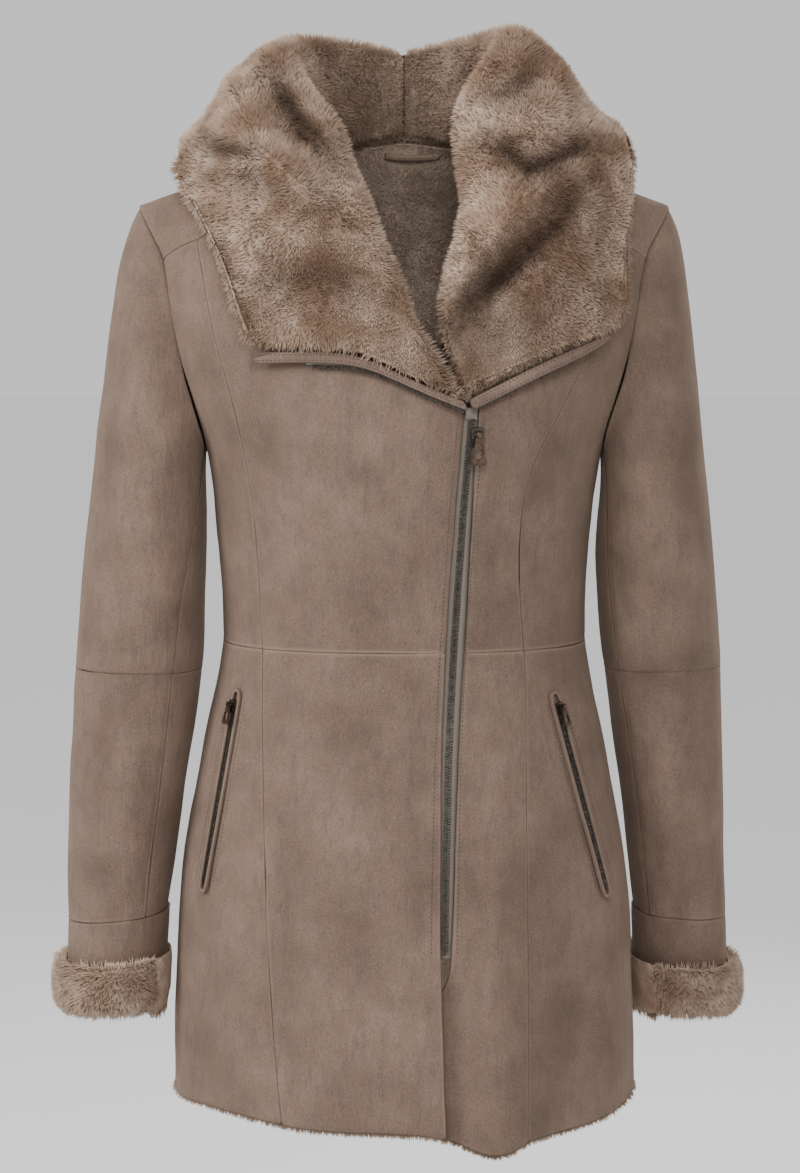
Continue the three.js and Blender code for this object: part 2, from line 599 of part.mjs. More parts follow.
function makeSkirt() {
  const sideRight = () => 180;
  const sideLeft = () => 360;
  const centre = () => 90;
  const rows = skirtRows;
  const frontRows = [...rows, zipFoot / waist].sort((a, b) => a - b);
  addPanel("skirt_side_front_right", {
    left: sideRight, right: princessRight, columns: level(shares(5), 0, waist), rows, sewn: hemSewn,
  });
  addPanel("skirt_front_right", {
    left: princessRight, right: zipRight, columns: level(shares(8), 0, waist),
    rows: frontRows,
    sewn: { ...hemSewn, right: true },
  });
  addPanel("skirt_front_left", {
    left: zipLeftOrUnderlap, right: princessLeft, columns: level(shares(7), 0, waist),
    rows: [...frontRows, 0.1, 0.23].sort((a, b) => a - b),
    sewn: hemSewn, sink: underlap,
  });
  addPanel("skirt_side_front_left", {
    left: princessLeft, right: sideLeft, columns: level(shares(5), 0, waist), rows, sewn: hemSewn,
  });
  addPanel("skirt_side_back_left", {
    left: () => 0, right: backPrincess, columns: level(shares(6), 0, waist), rows, sewn: hemSewn,
  });
  addPanel("skirt_back_left", {
    left: backPrincess, right: centre, columns: level(shares(4), 0, waist), rows, sewn: hemSewn,
  });
  addPanel("skirt_back_right", {
    left: centre, right: (t) => 180 - backPrincess(t), columns: level(shares(4), 0, waist), rows,
    sewn: hemSewn,
  });
  addPanel("skirt_side_back_right", {
    left: (t) => 180 - backPrincess(t), right: () => 180, columns: level(shares(6), 0, waist), rows,
    sewn: hemSewn,
  });
}

// Rings at which the collar's stations meet the neckline, the same on both sides
const collarRings = [10.6, 11, 11.4, 11.8, 12.3, 12.8, 13.7, 14.6, 15.6, 16.6, 17.3];

// Columns of a front panel whose top is the neckline for one part and the yoke seam for the rest.
// They are evenly spaced at the waist, and keep a least distance along the neckline.
const columnGap = 0.007; // share of the panel
function necklineColumns(key, left, right, corner) {
  const line = (t) => frontAngle(t, xOf(neckline, key));
  const shareAt = (t) => (line(t) - left(t)) / (right(t) - left(t));
  const tops = [corner, ...collarRings.filter((t) => t < corner - 0.1).reverse(), breakRing];
  const slope = tops.map((top) => ({ share: clamp(shareAt(top), 0, 1), bottom: waist, top }));
  const joint = slope[0].share;
  const princessShare = key === "right" ? 0 : 1;
  const seamPart = [0, 0.1, 0.5].map((f) => ({
    share: princessShare + (joint - princessShare) * f,
    bottom: waist,
    top: yokeAtPrincess + (corner - yokeAtPrincess) * f,
  }));
  slope[slope.length - 1].share = 1 - princessShare;
  for (let i = slope.length - 2; i > 0; i--) {
    const next = slope[i + 1].share;
    if (key === "right") slope[i].share = Math.min(slope[i].share, next - columnGap);
    else slope[i].share = Math.max(slope[i].share, next + columnGap);
  }
  const all = [...seamPart, ...slope];
  if (key === "left") all.reverse();
  return all.map((column, i) => ({ ...column, foot: i / (all.length - 1) }));
}

// Where the columns of the front panels end along the yoke seam, which the yokes take up
const yokeSeam = {};

function makeBodice() {
  const rows = bodiceRows;
  const sideTop = (list, first, last) =>
    list.map((share) => ({ share, bottom: waist, top: first + (last - first) * share }));
  const fronts = {
    side_front_right: {
      left: (t) => 180 - armholeFront(t), right: princessRight,
      columns: sideTop(shares(4), yokeAtArm, yokeAtPrincess),
    },
    front_right: {
      left: princessRight, right: zipRight,
      columns: necklineColumns("right", princessRight, zipRight, yokeAtNeck),
    },
    front_left: {
      left: zipLeft, right: princessLeft,
      columns: necklineColumns("left", zipLeft, princessLeft, yokeAtNeck),
    },
    side_front_left: {
      left: princessLeft, right: (t) => 360 + armholeFront(t),
      columns: sideTop(shares(4), yokeAtPrincess, yokeAtArm),
    },
  };
  for (const [name, lines] of Object.entries(fronts)) {
    addPanel(`bodice_${name}`, { ...lines, rows, sewn: allSewn });
  }
  const tops = ({ left, right, columns }) =>
    columns.map(({ share, top }) => ({ angle: left(top) + share * (right(top) - left(top)), t: top }));
  yokeSeam.right = [...tops(fronts.side_front_right), ...tops(fronts.front_right).slice(1, 4)];
  yokeSeam.left = [...tops(fronts.front_left).slice(-4, -1), ...tops(fronts.side_front_left)];
  const backs = [
    ["bodice_side_back_left", armholeBack, backPrincess, 4],
    ["bodice_back_left", backPrincess, () => 90, 3],
    ["bodice_back_right", () => 90, (t) => 180 - backPrincess(t), 3],
    ["bodice_side_back_right", (t) => 180 - backPrincess(t), (t) => 180 - armholeBack(t), 4],
  ];
  for (const [name, left, right, count] of backs) {
    const columns = level(shares(count), waist, yokeAtArm);
    addPanel(name, { left, right, columns, rows, sewn: allSewn });
  }
}

// Front yokes run from the yoke seam over the shoulder to its top; the back yoke is one piece
function makeYokes() {
  const reach = neck - yokeAtArm;
  const armUp = [0, ...yokeRings.map((t) => (t - yokeAtArm) / reach), (shoulder - yokeAtArm) / reach];
  const neckUp = collarRings.filter((t) => t > yokeAtNeck).map((t) => (t - yokeAtNeck) / (neck - yokeAtNeck));
  const up = [...new Set([...armUp, ...neckUp, 0.97, 1])].sort((a, b) => a - b);
  for (const side of ["right", "left"]) {
    const line = (t) => frontAngle(t, xOf(neckline, side));
    const outer = (t) => (t < shoulder ? armholeFront(t) : 0) + (side === "left" ? 360 : 0);
    const outerRight = (t) => 180 - (t < shoulder ? armholeFront(t) : 0);
    const [left, right] = side === "left" ? [line, outer] : [outerRight, line];
    const points = yokeSeam[side];
    const columns = points.map(({ angle, t }) => ({
      share: clamp((angle - left(t)) / (right(t) - left(t)), 0, 1),
      bottom: t,
      top: neck,
    }));
    columns[0].share = 0;
    columns[columns.length - 1].share = 1;
    addPanel(`yoke_front_${side}`, { left, right, columns, rows: up, sewn: allSewn });
  }
  const left = (t) => (t < shoulder ? armholeBack(t) : 0);
  const right = (t) => 180 - left(t);
  const [from, to] = [left(yokeAtArm), right(yokeAtArm)];
  const princessAt = backPrincess(yokeAtArm);
  const angles = [
    ...shares(4).map((f) => from + (princessAt - from) * f),
    ...shares(3).slice(1).map((f) => princessAt + (90 - princessAt) * f),
  ];
  const all = [...angles, ...angles.slice(0, -1).reverse().map((a) => 180 - a)];
  const columns = all.map((a) => ({ share: (a - from) / (to - from), bottom: yokeAtArm, top: neck }));
  addPanel("yoke_back", { left, right, columns, rows: up, sewn: allSewn });
}

const armholeCache = new Map();
function armholePoint(turn) {
  const key = Math.round((((turn % 360) + 360) % 360) * 1000);
  if (!armholeCache.has(key)) {
    const { angle, t } = armholeAt(turn);
    armholeCache.set(key, { point: body(angle, t), normal: normalOf(body, angle, t) });
  }
  return armholeCache.get(key);
}

// A point of a sleeve on the left half: turn 0 is next to the body, 90 the front, 180 the outside
function sleeveSurface(rows) {
  return (turn, ring) => {
    const a = (turn * Math.PI) / 180;
    const hole = armholePoint(turn).point;
    const points = rows.map((row) => {
      const across = new THREE.Vector3(row.innerX - row.outerX, 0, row.innerZ - row.outerZ);
      return new THREE.Vector3((row.innerX + row.outerX) / 2, row.midY, (row.innerZ + row.outerZ) / 2)
        .addScaledVector(across, power(Math.cos(a), 0.92) / 2)
        .add(new THREE.Vector3(0, -row.deep * power(Math.sin(a), 0.92), 0));
    });
    const ease = Math.sqrt(Math.max(0, -Math.sin(a))) * Math.max(0, -Math.cos(a));
    const all = [new THREE.Vector3(hole.x + armholeSeam + 3.4 * ease, hole.y, hole.z), ...points];
    return new THREE.Vector3(
      ...["x", "y", "z"].map((k) => through(all.map((p) => p[k]), ring)),
    );
  };
}

function sleeveNormal(surface, turn, ring) {
  const across = surface(turn + 0.5, ring).sub(surface(turn - 0.5, ring));
  const up = surface(turn, ring - 0.03).sub(surface(turn, ring + 0.03));
  const n = across.cross(up).normalize();
  if (ring > 0.5) return n;
  const own = armholePoint(turn).normal;
  const share = smooth((own.dot(sleeveNormal(surface, turn, 0.6)) - 0.15) / 0.55);
  const settled = sleeveNormal(surface, turn, 0.6).multiplyScalar(1 - share).addScaledVector(own, share);
  return settled.lerp(n, smooth(ring / 0.5)).normalize();
}

// One wall of a sleeve between two seam lines given as degrees by ring; no lines make a tube
function sleevePiece({ surface, lines, turns, ringsDown, sewnTop, sewnFoot }) {
  const outer = [];
  const inner = [];
  const up = [...ringsDown].reverse();
  for (const [i, ring] of up.entries()) {
    outer.push([]);
    inner.push([]);
    const [foot, top] = [i === 0 && sewnFoot, i === up.length - 1 && sewnTop];
    for (const [j, share] of turns.entries()) {
      const at = ring + (top ? 0.004 : 0) - (foot ? 0.004 : 0);
      const sides = lines ? [j === 0, j === turns.length - 1] : [false, false];
      let turn = lines ? lines[0](at) + share * (lines[1](at) - lines[0](at)) : share * 360;
      const run = surface(turn + 0.5, at).distanceTo(surface(turn - 0.5, at));
      turn += ((sides[0] ? 1 : 0) - (sides[1] ? 1 : 0)) * (seam / 2 / run);
      const n = sleeveNormal(surface, turn, at);
      const p = surface(turn, at);
      const turned = sides[0] || sides[1] || top || foot;
      outer[i].push(p.clone().addScaledVector(n, turned ? -seamDip : 0));
      inner[i].push(p.clone().addScaledVector(n, -wall));
    }
  }
  return wallGeometry(outer, inner, !lines);
}

// Shares between two sleeve seams at which the armhole panels have their points
function turnShares(from, to) {
  const all = [...armholeTurns.map((t) => t - 360), ...armholeTurns];
  const within = all.filter((t) => t > from + 4 && t < to - 4).map((t) => (t - from) / (to - from));
  return [0, edgeShare, ...new Set(within), 1 - edgeShare, 1].sort((a, b) => a - b);
}

function makeSleeves() {
  for (const [side, rows] of Object.entries(sleeves)) {
    const surface = sleeveSurface(rows);
    const handed = (g) => (side === "right" ? mirrored(g) : g);
    const seams = [rows[0].frontSeam, ...rows.map((r) => r.frontSeam)];
    const front = (ring) => through(seams, ring);
    const upper = [0, 0.14, 0.5, 1, 2, 3, 4.4, 5.8, 7.1, elbow];
    const lower = [elbow, elbow + 0.08, 8.6, bandTop - 0.08, bandTop];
    for (const [part, ringsDown] of [["upper", upper], ["lower", lower]]) {
      const ends = { surface, ringsDown, sewnTop: true, sewnFoot: true };
      const underSeam = backSeam - 360;
      const top = { lines: [front, () => backSeam], turns: turnShares(seams[0], backSeam), ...ends };
      const under = { lines: [() => underSeam, front], turns: turnShares(underSeam, seams[0]), ...ends };
      add(`sleeve_top_${part}_${side}`, handed(sleevePiece(top)), "suede");
      add(`sleeve_under_${part}_${side}`, handed(sleevePiece(under)), "suede");
    }
    const around = Array.from({ length: 24 }, (_, i) => i / 24);
    const band = { surface, turns: around, sewnTop: true, sewnFoot: false };
    const bandRings = [bandTop, bandTop + 0.08, 10.7, bandEnd];
    add(`sleeve_band_${side}`, handed(sleevePiece({ ...band, ringsDown: bandRings })), "suede");
    makeCuff(side, surface, handed);
  }
}

// The cuff wraps the band's end; its fleece is pressed flatter where it lies next to the hip
function makeCuff(side, surface, handed) {
  const turns = Array.from({ length: 24 }, (_, i) => i * 15);
  const length = surface(90, bandEnd + 0.1).distanceTo(surface(90, bandEnd - 0.1)) / 0.2;
  const place = (turn, out, up) => {
    const ring = bandEnd - up / length;
    return surface(turn, ring).addScaledVector(sleeveNormal(surface, turn, ring), out);
  };
  const outer = [];
  const inner = [];
  for (const [i, row] of cuff.entries()) {
    outer.push([]);
    inner.push([]);
    for (const turn of turns) {
      const away = Math.min(turn, 360 - turn) / 55;
      const pressed = 1 - 0.68 * Math.exp(-away * away);
      const lock = 0.9 * Math.sin((turn * Math.PI) / 30 + i * 1.9) * Math.sin(i * 1.3 + turn / 23);
      const out = row.fleeceOut > 0 ? row.fleeceOut * pressed + lock : row.fleeceOut;
      outer[i].push(place(turn, out, row.fleeceUp + lock));
      inner[i].push(place(turn, row.backOut, row.backUp));
    }
  }
  add(`cuff_${side}`, handed(wallGeometry(outer, inner, true)), "fleece");
}

// Where the collar is sewn on: a point on the neckline, the wall's normal and the way off its edge
function rootOf(side, ring, angle) {
  const line = (t) => frontAngle(t, xOf(neckline, side));
  const corner = ring >= neck && Math.abs(angle - line(neck)) < 4;
  const a = ring < neck || corner ? line(ring) : angle;
  const n = normalOf(body, a, ring);
  const along = body(line(ring), ring).sub(body(line(ring - 0.2), ring - 0.2)).normalize();
  const sideways = along.clone().cross(n).normalize();
  if (Math.sign(sideways.x) !== (side === "right" ? 1 : -1)) sideways.negate();
  const upwards = body(a, ring).sub(body(a, ring - 0.2)).normalize();
  const off = new THREE.Vector3();
  if (ring < neck || corner) off.addScaledVector(sideways, 0.8);
  if (ring >= neck) off.addScaledVector(upwards, 3.1);
  const point = body(a, ring).addScaledVector(n, -wall / 2).add(off);
  return { point, n, off: off.normalize() };
}

const collarSteps = [0, 0.5, 1, 2, 3, 4, 5, 6, 6.5, 7, 7.5, 8];

// The middle of the collar's thickness along one station
function collarPath(side, station) {
  const v = (k) => new THREE.Vector3(station[`${k}X`], station[`${k}Y`], station[`${k}Z`]);
  const { point: root, n, off } = rootOf(side, station.ring, station.angle);
  const [rim, fall, edge] = [v("rim"), v("fall"), v("edge")];
  const rise = rim.clone().sub(root).normalize();
  const heart = rim.clone().addScaledVector(rise, -(station.roll + station.thick));
  const over = fall.clone().sub(heart);
  over.addScaledVector(rise, -over.dot(rise)).normalize();
  const arc = [0, 45, 90, 135].map((degrees) => {
    const a = (degrees * Math.PI) / 180;
    return heart
      .clone()
      .addScaledVector(over, -station.roll * Math.cos(a))
      .addScaledVector(rise, station.roll * Math.sin(a));
  });
  const foot = root.clone().addScaledVector(off, 0.25 * arc[0].distanceTo(root));
  const low = foot.lerp(arc[0], 0.35);
  const knots = [root, low, ...arc, fall.clone().lerp(arc[3], 0.5), fall, edge];
  return { knots, n };
}

// Stations between the table's rows: the first rows meet the neckline at the collar's rings
function collarStations(table) {
  const ring = (k) => {
    const i = Math.floor(k);
    const [a, b] = [table[i].ring, table[Math.min(i + 1, table.length - 1)].ring];
    return a + (b - a) * (k - i);
  };
  const list = [];
  for (let i = 0; i < table.length - 1; i++) {
    const between = collarRings.filter((t) => t >= table[i].ring && t < table[i + 1].ring);
    const span = table[i + 1].ring - table[i].ring;
    if (between.length) list.push(...between.map((t) => i + (t - table[i].ring) / span));
    else list.push(i, i + 0.5);
  }
  list.push(table.length - 1);
  return list.map((k) => {
    const keys = Object.keys(table[0]);
    const row = Object.fromEntries(keys.map((key) => [key, through(table.map((r) => r[key]), k)]));
    row.ring = ring(k);
    return row;
  });
}

// The two faces of one half of the collar, fleece outermost
function collarFaces(side, table) {
  const paths = collarStations(table).map((row) => ({ row, ...collarPath(side, row) }));
  const centre = paths.map(({ knots }) =>
    collarSteps.map(
      (u) => new THREE.Vector3(...["x", "y", "z"].map((a) => through(knots.map((p) => p[a]), u))),
    ),
  );
  const outer = [];
  const inner = [];
  const last = [paths.length - 1, collarSteps.length - 1];
  for (const [i, { row, n: rootNormal }] of paths.entries()) {
    outer.push([]);
    inner.push([]);
    for (const [j, u] of collarSteps.entries()) {
      const across = centre[Math.min(i + 1, last[0])][j].clone().sub(centre[Math.max(i - 1, 0)][j]);
      const down = centre[i][Math.min(j + 1, last[1])].clone().sub(centre[i][Math.max(j - 1, 0)]);
      const n = across.cross(down).normalize();
      if (side === "left") n.negate();
      if (j === 0) n.copy(rootNormal).negate();
      const half = u < 1 ? wall / 2 + u * (row.thick - wall / 2) : row.thick - smooth(u - 7) * 2;
      const away = (clamp((u - 5) / 3, 0, 1) - row.crease) / 0.17;
      const dent = row.deep * Math.exp(-away * away) * smooth((u - 4) / 2);
      const lock = u > 1 ? 0.16 * row.thick * Math.sin(i * 1.1 + j * 2.3) * Math.sin(i * 0.6 - j * 1.7) : 0;
      outer[i].push(centre[i][j].clone().addScaledVector(n, half - dent + lock));
      inner[i].push(centre[i][j].clone().addScaledVector(n, -half - dent * 0.7));
    }
  }
  return { outer, inner };
}

function makeCollar() {
  for (const [side, table] of [["right", collarRight], ["left", collarLeft]]) {
    const { outer, inner } = collarFaces(side, table);
    for (const grid of [outer, inner]) {
      for (const p of grid[grid.length - 1]) p.x = side === "right" ? -seam / 2 : seam / 2;
    }
    add(`collar_${side}`, faceOut(wallGeometry(outer, inner)), "fleece");
    makeLapelFoot(side, outer, inner);
  }
}

// Along a lapel's foot: a stitched suede band and, below it, one half of the open zip.
// Start and end are how far below the fleece each reaches, deep how far it lies behind the middle,
// and tucked how much higher it lies on the left, where the zip is behind its band.
const lapelFoot = [
  {
    name: "lapel_band", finish: "suede",
    from: 5, to: 11, start: 3.2, end: 12.4, deep: 0, thick: 2, tucked: 1.4,
  },
  {
    name: "zip_tape_open", finish: "tape",
    from: 6, to: 10, start: 10, end: 15, deep: 3.4, thick: 0.7, tucked: 5,
  },
  {
    name: "zip_chain_open", finish: "metal",
    from: 6, to: 10, start: 15.3, end: 18, deep: 3.4, thick: 1.2, tucked: 5,
  },
];
function makeLapelFoot(side, outer, inner) {
  const mid = (i, j) => outer[i][j].clone().add(inner[i][j]).multiplyScalar(0.5);
  for (const row of lapelFoot) {
    const drawn = side === "left" ? row.tucked : 0;
    const part = { ...row, start: row.start - drawn, end: row.end - drawn };
    const near = [[], []];
    const far = [[], []];
    for (let j = part.from; j <= part.to; j++) {
      const foot = mid(0, j);
      const down = foot.clone().sub(mid(1, j)).setY(0).normalize();
      const face = outer[0][j].clone().sub(inner[0][j]).normalize();
      face.addScaledVector(down, -face.dot(down)).normalize();
      const place = (reach, out) =>
        foot.clone().addScaledVector(down, reach).addScaledVector(face, out - part.deep);
      near[0].push(place(part.start, part.thick));
      near[1].push(place(part.start, -part.thick));
      far[0].push(place(part.end, part.thick));
      far[1].push(place(part.end, -part.thick));
    }
    const made = faceOut(wallGeometry([near[0], far[0]], [near[1], far[1]]));
    add(`${part.name}_${side}`, made, part.finish);
  }
}

// The closed zip: a tape between the two front edges with the chain down its middle
function makeZip() {
  const skirtZip = skirtRows.map((up) => up * waist).filter((t) => t > zipFoot + 0.1 && t < waist);
  const bodiceZip = bodiceRows
    .map((up) => waist + up * (breakRing - waist))
    .filter((t) => t < breakRing - 0.25);
  const head = breakRing - 0.06;
  const rows = [zipFoot, ...skirtZip, ...bodiceZip, head].map((t) => (t - zipFoot) / (head - zipFoot));
  const loose = { left: false, right: false, top: false, bottom: false };
  addPanel("zip_tape", {
    left: zipRight, right: zipLeft, columns: level([0, 0.5, 1], zipFoot, head), rows,
    sewn: { ...loose, left: true, right: true }, sink: () => 3, thick: 1.4,
  }, "tape");
  const beside = (mm) => (t) => frontAngle(t, (z) => byHeight(zip, z, "middle") + mm);
  addPanel("zip_chain", {
    left: beside(-2.9), right: beside(2.9), columns: level([0, 0.5, 1], zipFoot, head), rows,
    sewn: loose, sink: () => 0.6, thick: 2,
  }, "metal");
}

// The point of a panel's own facets at a distance from the middle and a height
function onPanel(name, x, z) {
  const grid = grids[name];
  const point = (u, v) => {
    const [i, j] = [clamp(Math.floor(v), 0, grid.length - 2), clamp(Math.floor(u), 0, grid[0].length - 2)];
    const low = grid[i][j].clone().lerp(grid[i][j + 1], u - j);
    return low.lerp(grid[i + 1][j].clone().lerp(grid[i + 1][j + 1], u - j), v - i);
  };
  let [u, v] = [grid[0].length / 2, grid.length / 2];
  for (let k = 0; k < 12; k++) {
    u = bisect((w) => point(w, v).x - x, 0, grid[0].length - 1);
    v = bisect((w) => point(u, w).z - z, 0, grid.length - 1);
  }
  return point(u, v);
}

function bisect(f, low, high) {
  for (let i = 0; i < 30; i++) {
    const mid = (low + high) / 2;
    if (f(mid) < 0) low = mid;
    else high = mid;
  }
  return (low + high) / 2;
}

// Axes of a place on the front: across to the left, up along the cloth, and out of it
function frameOn(name, x, z, slant = 0) {
  const at = (dx, dz) => onPanel(name, x + dx, z + dz);
  const up = at(slant * 6, 6).sub(at(-slant * 6, -6)).normalize();
  const out = at(3, 0).sub(at(-3, 0)).cross(up).normalize();
  return new THREE.Matrix4().makeBasis(up.clone().cross(out), up, out).setPosition(at(0, 0));
}

// The same for a place on the smooth body
function frameAt(x, z) {
  const line = () => x;
  const t = ringOnFront(z, line);
  const angle = frontAngle(t, line);
  const out = normalOf(body, angle, t);
  const up = new THREE.Vector3(0, 0, 1);
  const across = up.cross(out).normalize();
  return new THREE.Matrix4()
    .makeBasis(across, out.clone().cross(across), out)
    .setPosition(body(angle, t));
}

function geometryOf(solid) {
  const mesh = solid.getMesh();
  const geometry = new THREE.BufferGeometry();
  const points = new Float32Array((mesh.vertProperties.length / mesh.numProp) * 3);
  for (let i = 0; i * 3 < points.length; i++) {
    points.set(mesh.vertProperties.slice(i * mesh.numProp, i * mesh.numProp + 3), i * 3);
  }
  geometry.setAttribute("position", new THREE.BufferAttribute(points, 3));
  geometry.setIndex(Array.from(mesh.triVerts));
  return geometry;
}

// A zip slider and its pull, laid flat on XY with +Z out of the cloth. The pull's eye goes round
// the bar of the slider's bridge.
const hardware = {
  body: { wide: 8.4, tall: 12.5, thick: 2.8 },
  bar: { radius: 0.8, above: 3.3, half: 3.4, y: 1.5 },
  eye: { inside: 1.35, outside: 2.5, half: 1.7 },
  pull: { top: 4.4, foot: 10, long: 20, thick: 1.6, window: [4.4, 6.4] },
};
function box(wide, tall, thick, x, y, z) {
  return wasm.Manifold.cube([wide, tall, thick], true).translate([x, y, z]);
}
function makeSlider() {
  const { body: plate, bar } = hardware;
  const axis = plate.thick + bar.above;
  const shield = wasm.Manifold.hull([
    box(plate.wide, plate.tall * 0.5, plate.thick, 0, plate.tall * 0.2, plate.thick / 2),
    box(plate.wide * 0.6, plate.tall, plate.thick * 0.8, 0, 0, plate.thick * 0.4),
  ]);
  const across = wasm.Manifold.cylinder(bar.half * 2, bar.radius, bar.radius, 12, true)
    .rotate([0, 90, 0])
    .translate([0, bar.y, axis]);
  const posts = [-1, 1].map((hand) =>
    box(1.1, 1.8, bar.above + 0.9, hand * (bar.half - 0.55), bar.y, plate.thick + bar.above / 2),
  );
  return shield.add(across).add(posts[0]).add(posts[1]);
}
function makePull() {
  const { eye, pull } = hardware;
  const round = (r, half) => wasm.Manifold.cylinder(half * 2, r, r, 16, true).rotate([0, 90, 0]);
  const plate = wasm.Manifold.hull([
    box(pull.top, 0.4, pull.thick, 0, -2.1, 0),
    box(pull.foot, 0.4, pull.thick, 0, 1.2 - pull.long, 0),
    box(pull.foot - 3, 0.4, pull.thick, 0, -pull.long, 0),
  ]);
  const window = box(...pull.window, 6, 0, -0.62 * pull.long, 0);
  return round(eye.outside, eye.half).add(plate.subtract(window)).subtract(round(eye.inside, 4));
}

function addHardware(name, frame, size) {
  const { body: plate, bar } = hardware;
  const place = new THREE.Matrix4().makeScale(size, size, size).premultiply(
    new THREE.Matrix4().makeTranslation(0, 0, frame.lift),
  ).premultiply(frame.axes);
  add(`${name}_slider`, geometryOf(makeSlider()).applyMatrix4(place), "metal");
  const onBar = new THREE.Matrix4().makeTranslation(0, bar.y, plate.thick + bar.above);
  add(`${name}_pull`, geometryOf(makePull()).applyMatrix4(onBar.premultiply(place)), "metal");
  const hinge = new THREE.Vector3(0, bar.y, plate.thick + bar.above).applyMatrix4(place);
  const axis = new THREE.Vector3(-1, 0, 0).transformDirection(frame.axes);
  coat.userData[`${name}_hinge`] = [hinge.toArray(), axis.toArray()];
}

// A pocket zip on its side front panel: a chain in a narrow stitched frame with rounded ends
const pocketZip = { half: 2.4, frameIn: 3, frameOut: 6.2, chainOut: 1.5, frameRise: 2.3, gap: 0.45 };
function makePocket(side, line) {
  const panelName = `skirt_side_front_${side}`;
  const hand = side === "right" ? -1 : 1;
  const long = Math.hypot(line.footX - line.topX, line.footZ - line.topZ);
  const [dx, dz] = [(hand * (line.footX - line.topX)) / long, (line.footZ - line.topZ) / long];
  const place = (down, beside, out) => {
    const [x0, z0] = [hand * line.topX + dx * down, line.topZ + dz * down];
    const n = new THREE.Vector3().setFromMatrixColumn(frameOn(panelName, x0, z0), 2);
    const flat = Math.abs(n.y);
    return onPanel(panelName, x0 - dz * beside * flat, z0 + dx * beside).addScaledVector(n, out);
  };
  const downs = Array.from({ length: 9 }, (_, i) => (i * long) / 8);
  const strip = (half, low, high) => {
    const row = (beside, out) => downs.map((d) => place(d, beside, out));
    return faceOut(wallGeometry(
      [row(-half, high), row(0, high), row(half, high)],
      [row(-half, low), row(0, low), row(half, low)],
    ));
  };
  add(`pocket_zip_chain_${side}`, strip(pocketZip.half, pocketZip.gap, pocketZip.chainOut), "metal");
  const loop = (reach, out) => {
    const corner = (down, turn) =>
      [0, 45, 90, 135, 180].map((a) => {
        const r = ((a + turn) * Math.PI) / 180;
        return place(down + reach * Math.sin(r), reach * Math.cos(r), out);
      });
    const sideRun = (beside, list) => list.map((d) => place(d, beside, out));
    return [
      ...corner(long + 1, 0),
      ...sideRun(-reach, downs.slice(1, -1).reverse()),
      ...corner(-1, 180),
      ...sideRun(reach, downs.slice(1, -1)),
    ];
  };
  const faces = [pocketZip.frameIn, pocketZip.frameOut];
  add(`pocket_welt_${side}`, faceOut(wallGeometry(
    faces.map((reach) => loop(reach, pocketZip.frameRise)),
    faces.map((reach) => loop(reach, pocketZip.gap)),
    true,
  )), "suede");
  const [x0, z0] = [hand * line.topX + dx * 8, line.topZ + dz * 8];
  const axes = frameOn(panelName, x0, z0, dx / dz);
  addHardware(`pocket_${side}`, { axes, lift: pocketZip.frameRise + 0.4 }, 0.8);
}

// A short suede loop inside the back of the neck
function makeNeckLoop() {
  const spans = Array.from({ length: 9 }, (_, i) => i / 8);
  const edge = (height, depth) =>
    spans.map((f) => {
      const sag = 4 * f * (1 - f);
      const x = -16 + 46 * f;
      return new THREE.Vector3(x, 65.2 - 0.0022 * x * x - 3.2 * sag - depth, -3.5 + height - 1.6 * sag);
    });
  const [back, front] = [[edge(-5, 0), edge(0, 0)], [edge(-5, 1.6), edge(0, 1.6)]];
  add("neck_loop", faceOut(wallGeometry(back, front)), "suede");
}

makeSkirt();
makeBodice();
makeYokes();
makeSleeves();
makeCollar();
makeZip();
makeNeckLoop();
addHardware("zip", { axes: frameAt(56.5, -229), lift: 0.7 }, 1.2);
for (const [side, line] of Object.entries(pockets)) makePocket(side, line);

export default coat;
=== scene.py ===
import bpy
import bmesh
import math
import numpy as np
from mathutils import Matrix, Vector, noise
from mathutils.bvhtree import BVHTree
from mathutils.kdtree import KDTree


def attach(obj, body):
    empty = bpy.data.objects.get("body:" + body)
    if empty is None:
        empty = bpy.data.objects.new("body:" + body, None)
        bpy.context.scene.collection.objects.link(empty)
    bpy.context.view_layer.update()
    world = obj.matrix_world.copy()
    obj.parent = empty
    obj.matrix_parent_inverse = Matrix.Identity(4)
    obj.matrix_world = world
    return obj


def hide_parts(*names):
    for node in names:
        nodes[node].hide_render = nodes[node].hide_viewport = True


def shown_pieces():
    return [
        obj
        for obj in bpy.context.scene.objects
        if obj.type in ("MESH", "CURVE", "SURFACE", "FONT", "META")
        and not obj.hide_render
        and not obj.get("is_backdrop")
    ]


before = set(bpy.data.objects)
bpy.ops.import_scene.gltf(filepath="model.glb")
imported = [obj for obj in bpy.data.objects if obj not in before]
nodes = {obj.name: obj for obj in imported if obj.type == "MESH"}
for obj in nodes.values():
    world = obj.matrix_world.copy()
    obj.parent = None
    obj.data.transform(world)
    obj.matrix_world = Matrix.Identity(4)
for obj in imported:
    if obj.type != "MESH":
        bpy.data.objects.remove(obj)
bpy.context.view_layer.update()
scene = bpy.context.scene
mm = 0.001
noise.seed_set(5)  # vector noise takes its seed from the clock otherwise
print("frame loaded:", len(nodes), "nodes")

# Camera at the photograph's angle: level with the chest, looking slightly down
camera = {"lens": 97.79, "place": (-0.0033, -2.6, -0.1), "target": (-0.0033, 0, -0.358)}
eye = bpy.data.objects.new("camera", bpy.data.cameras.new("camera"))
scene.collection.objects.link(eye)
eye.data.lens = camera["lens"]
eye.data.sensor_width = 36
eye.location = camera["place"]
aim = Vector(camera["target"]) - Vector(camera["place"])
eye.rotation_euler = aim.to_track_quat("-Z", "Y").to_euler()
scene.camera = eye

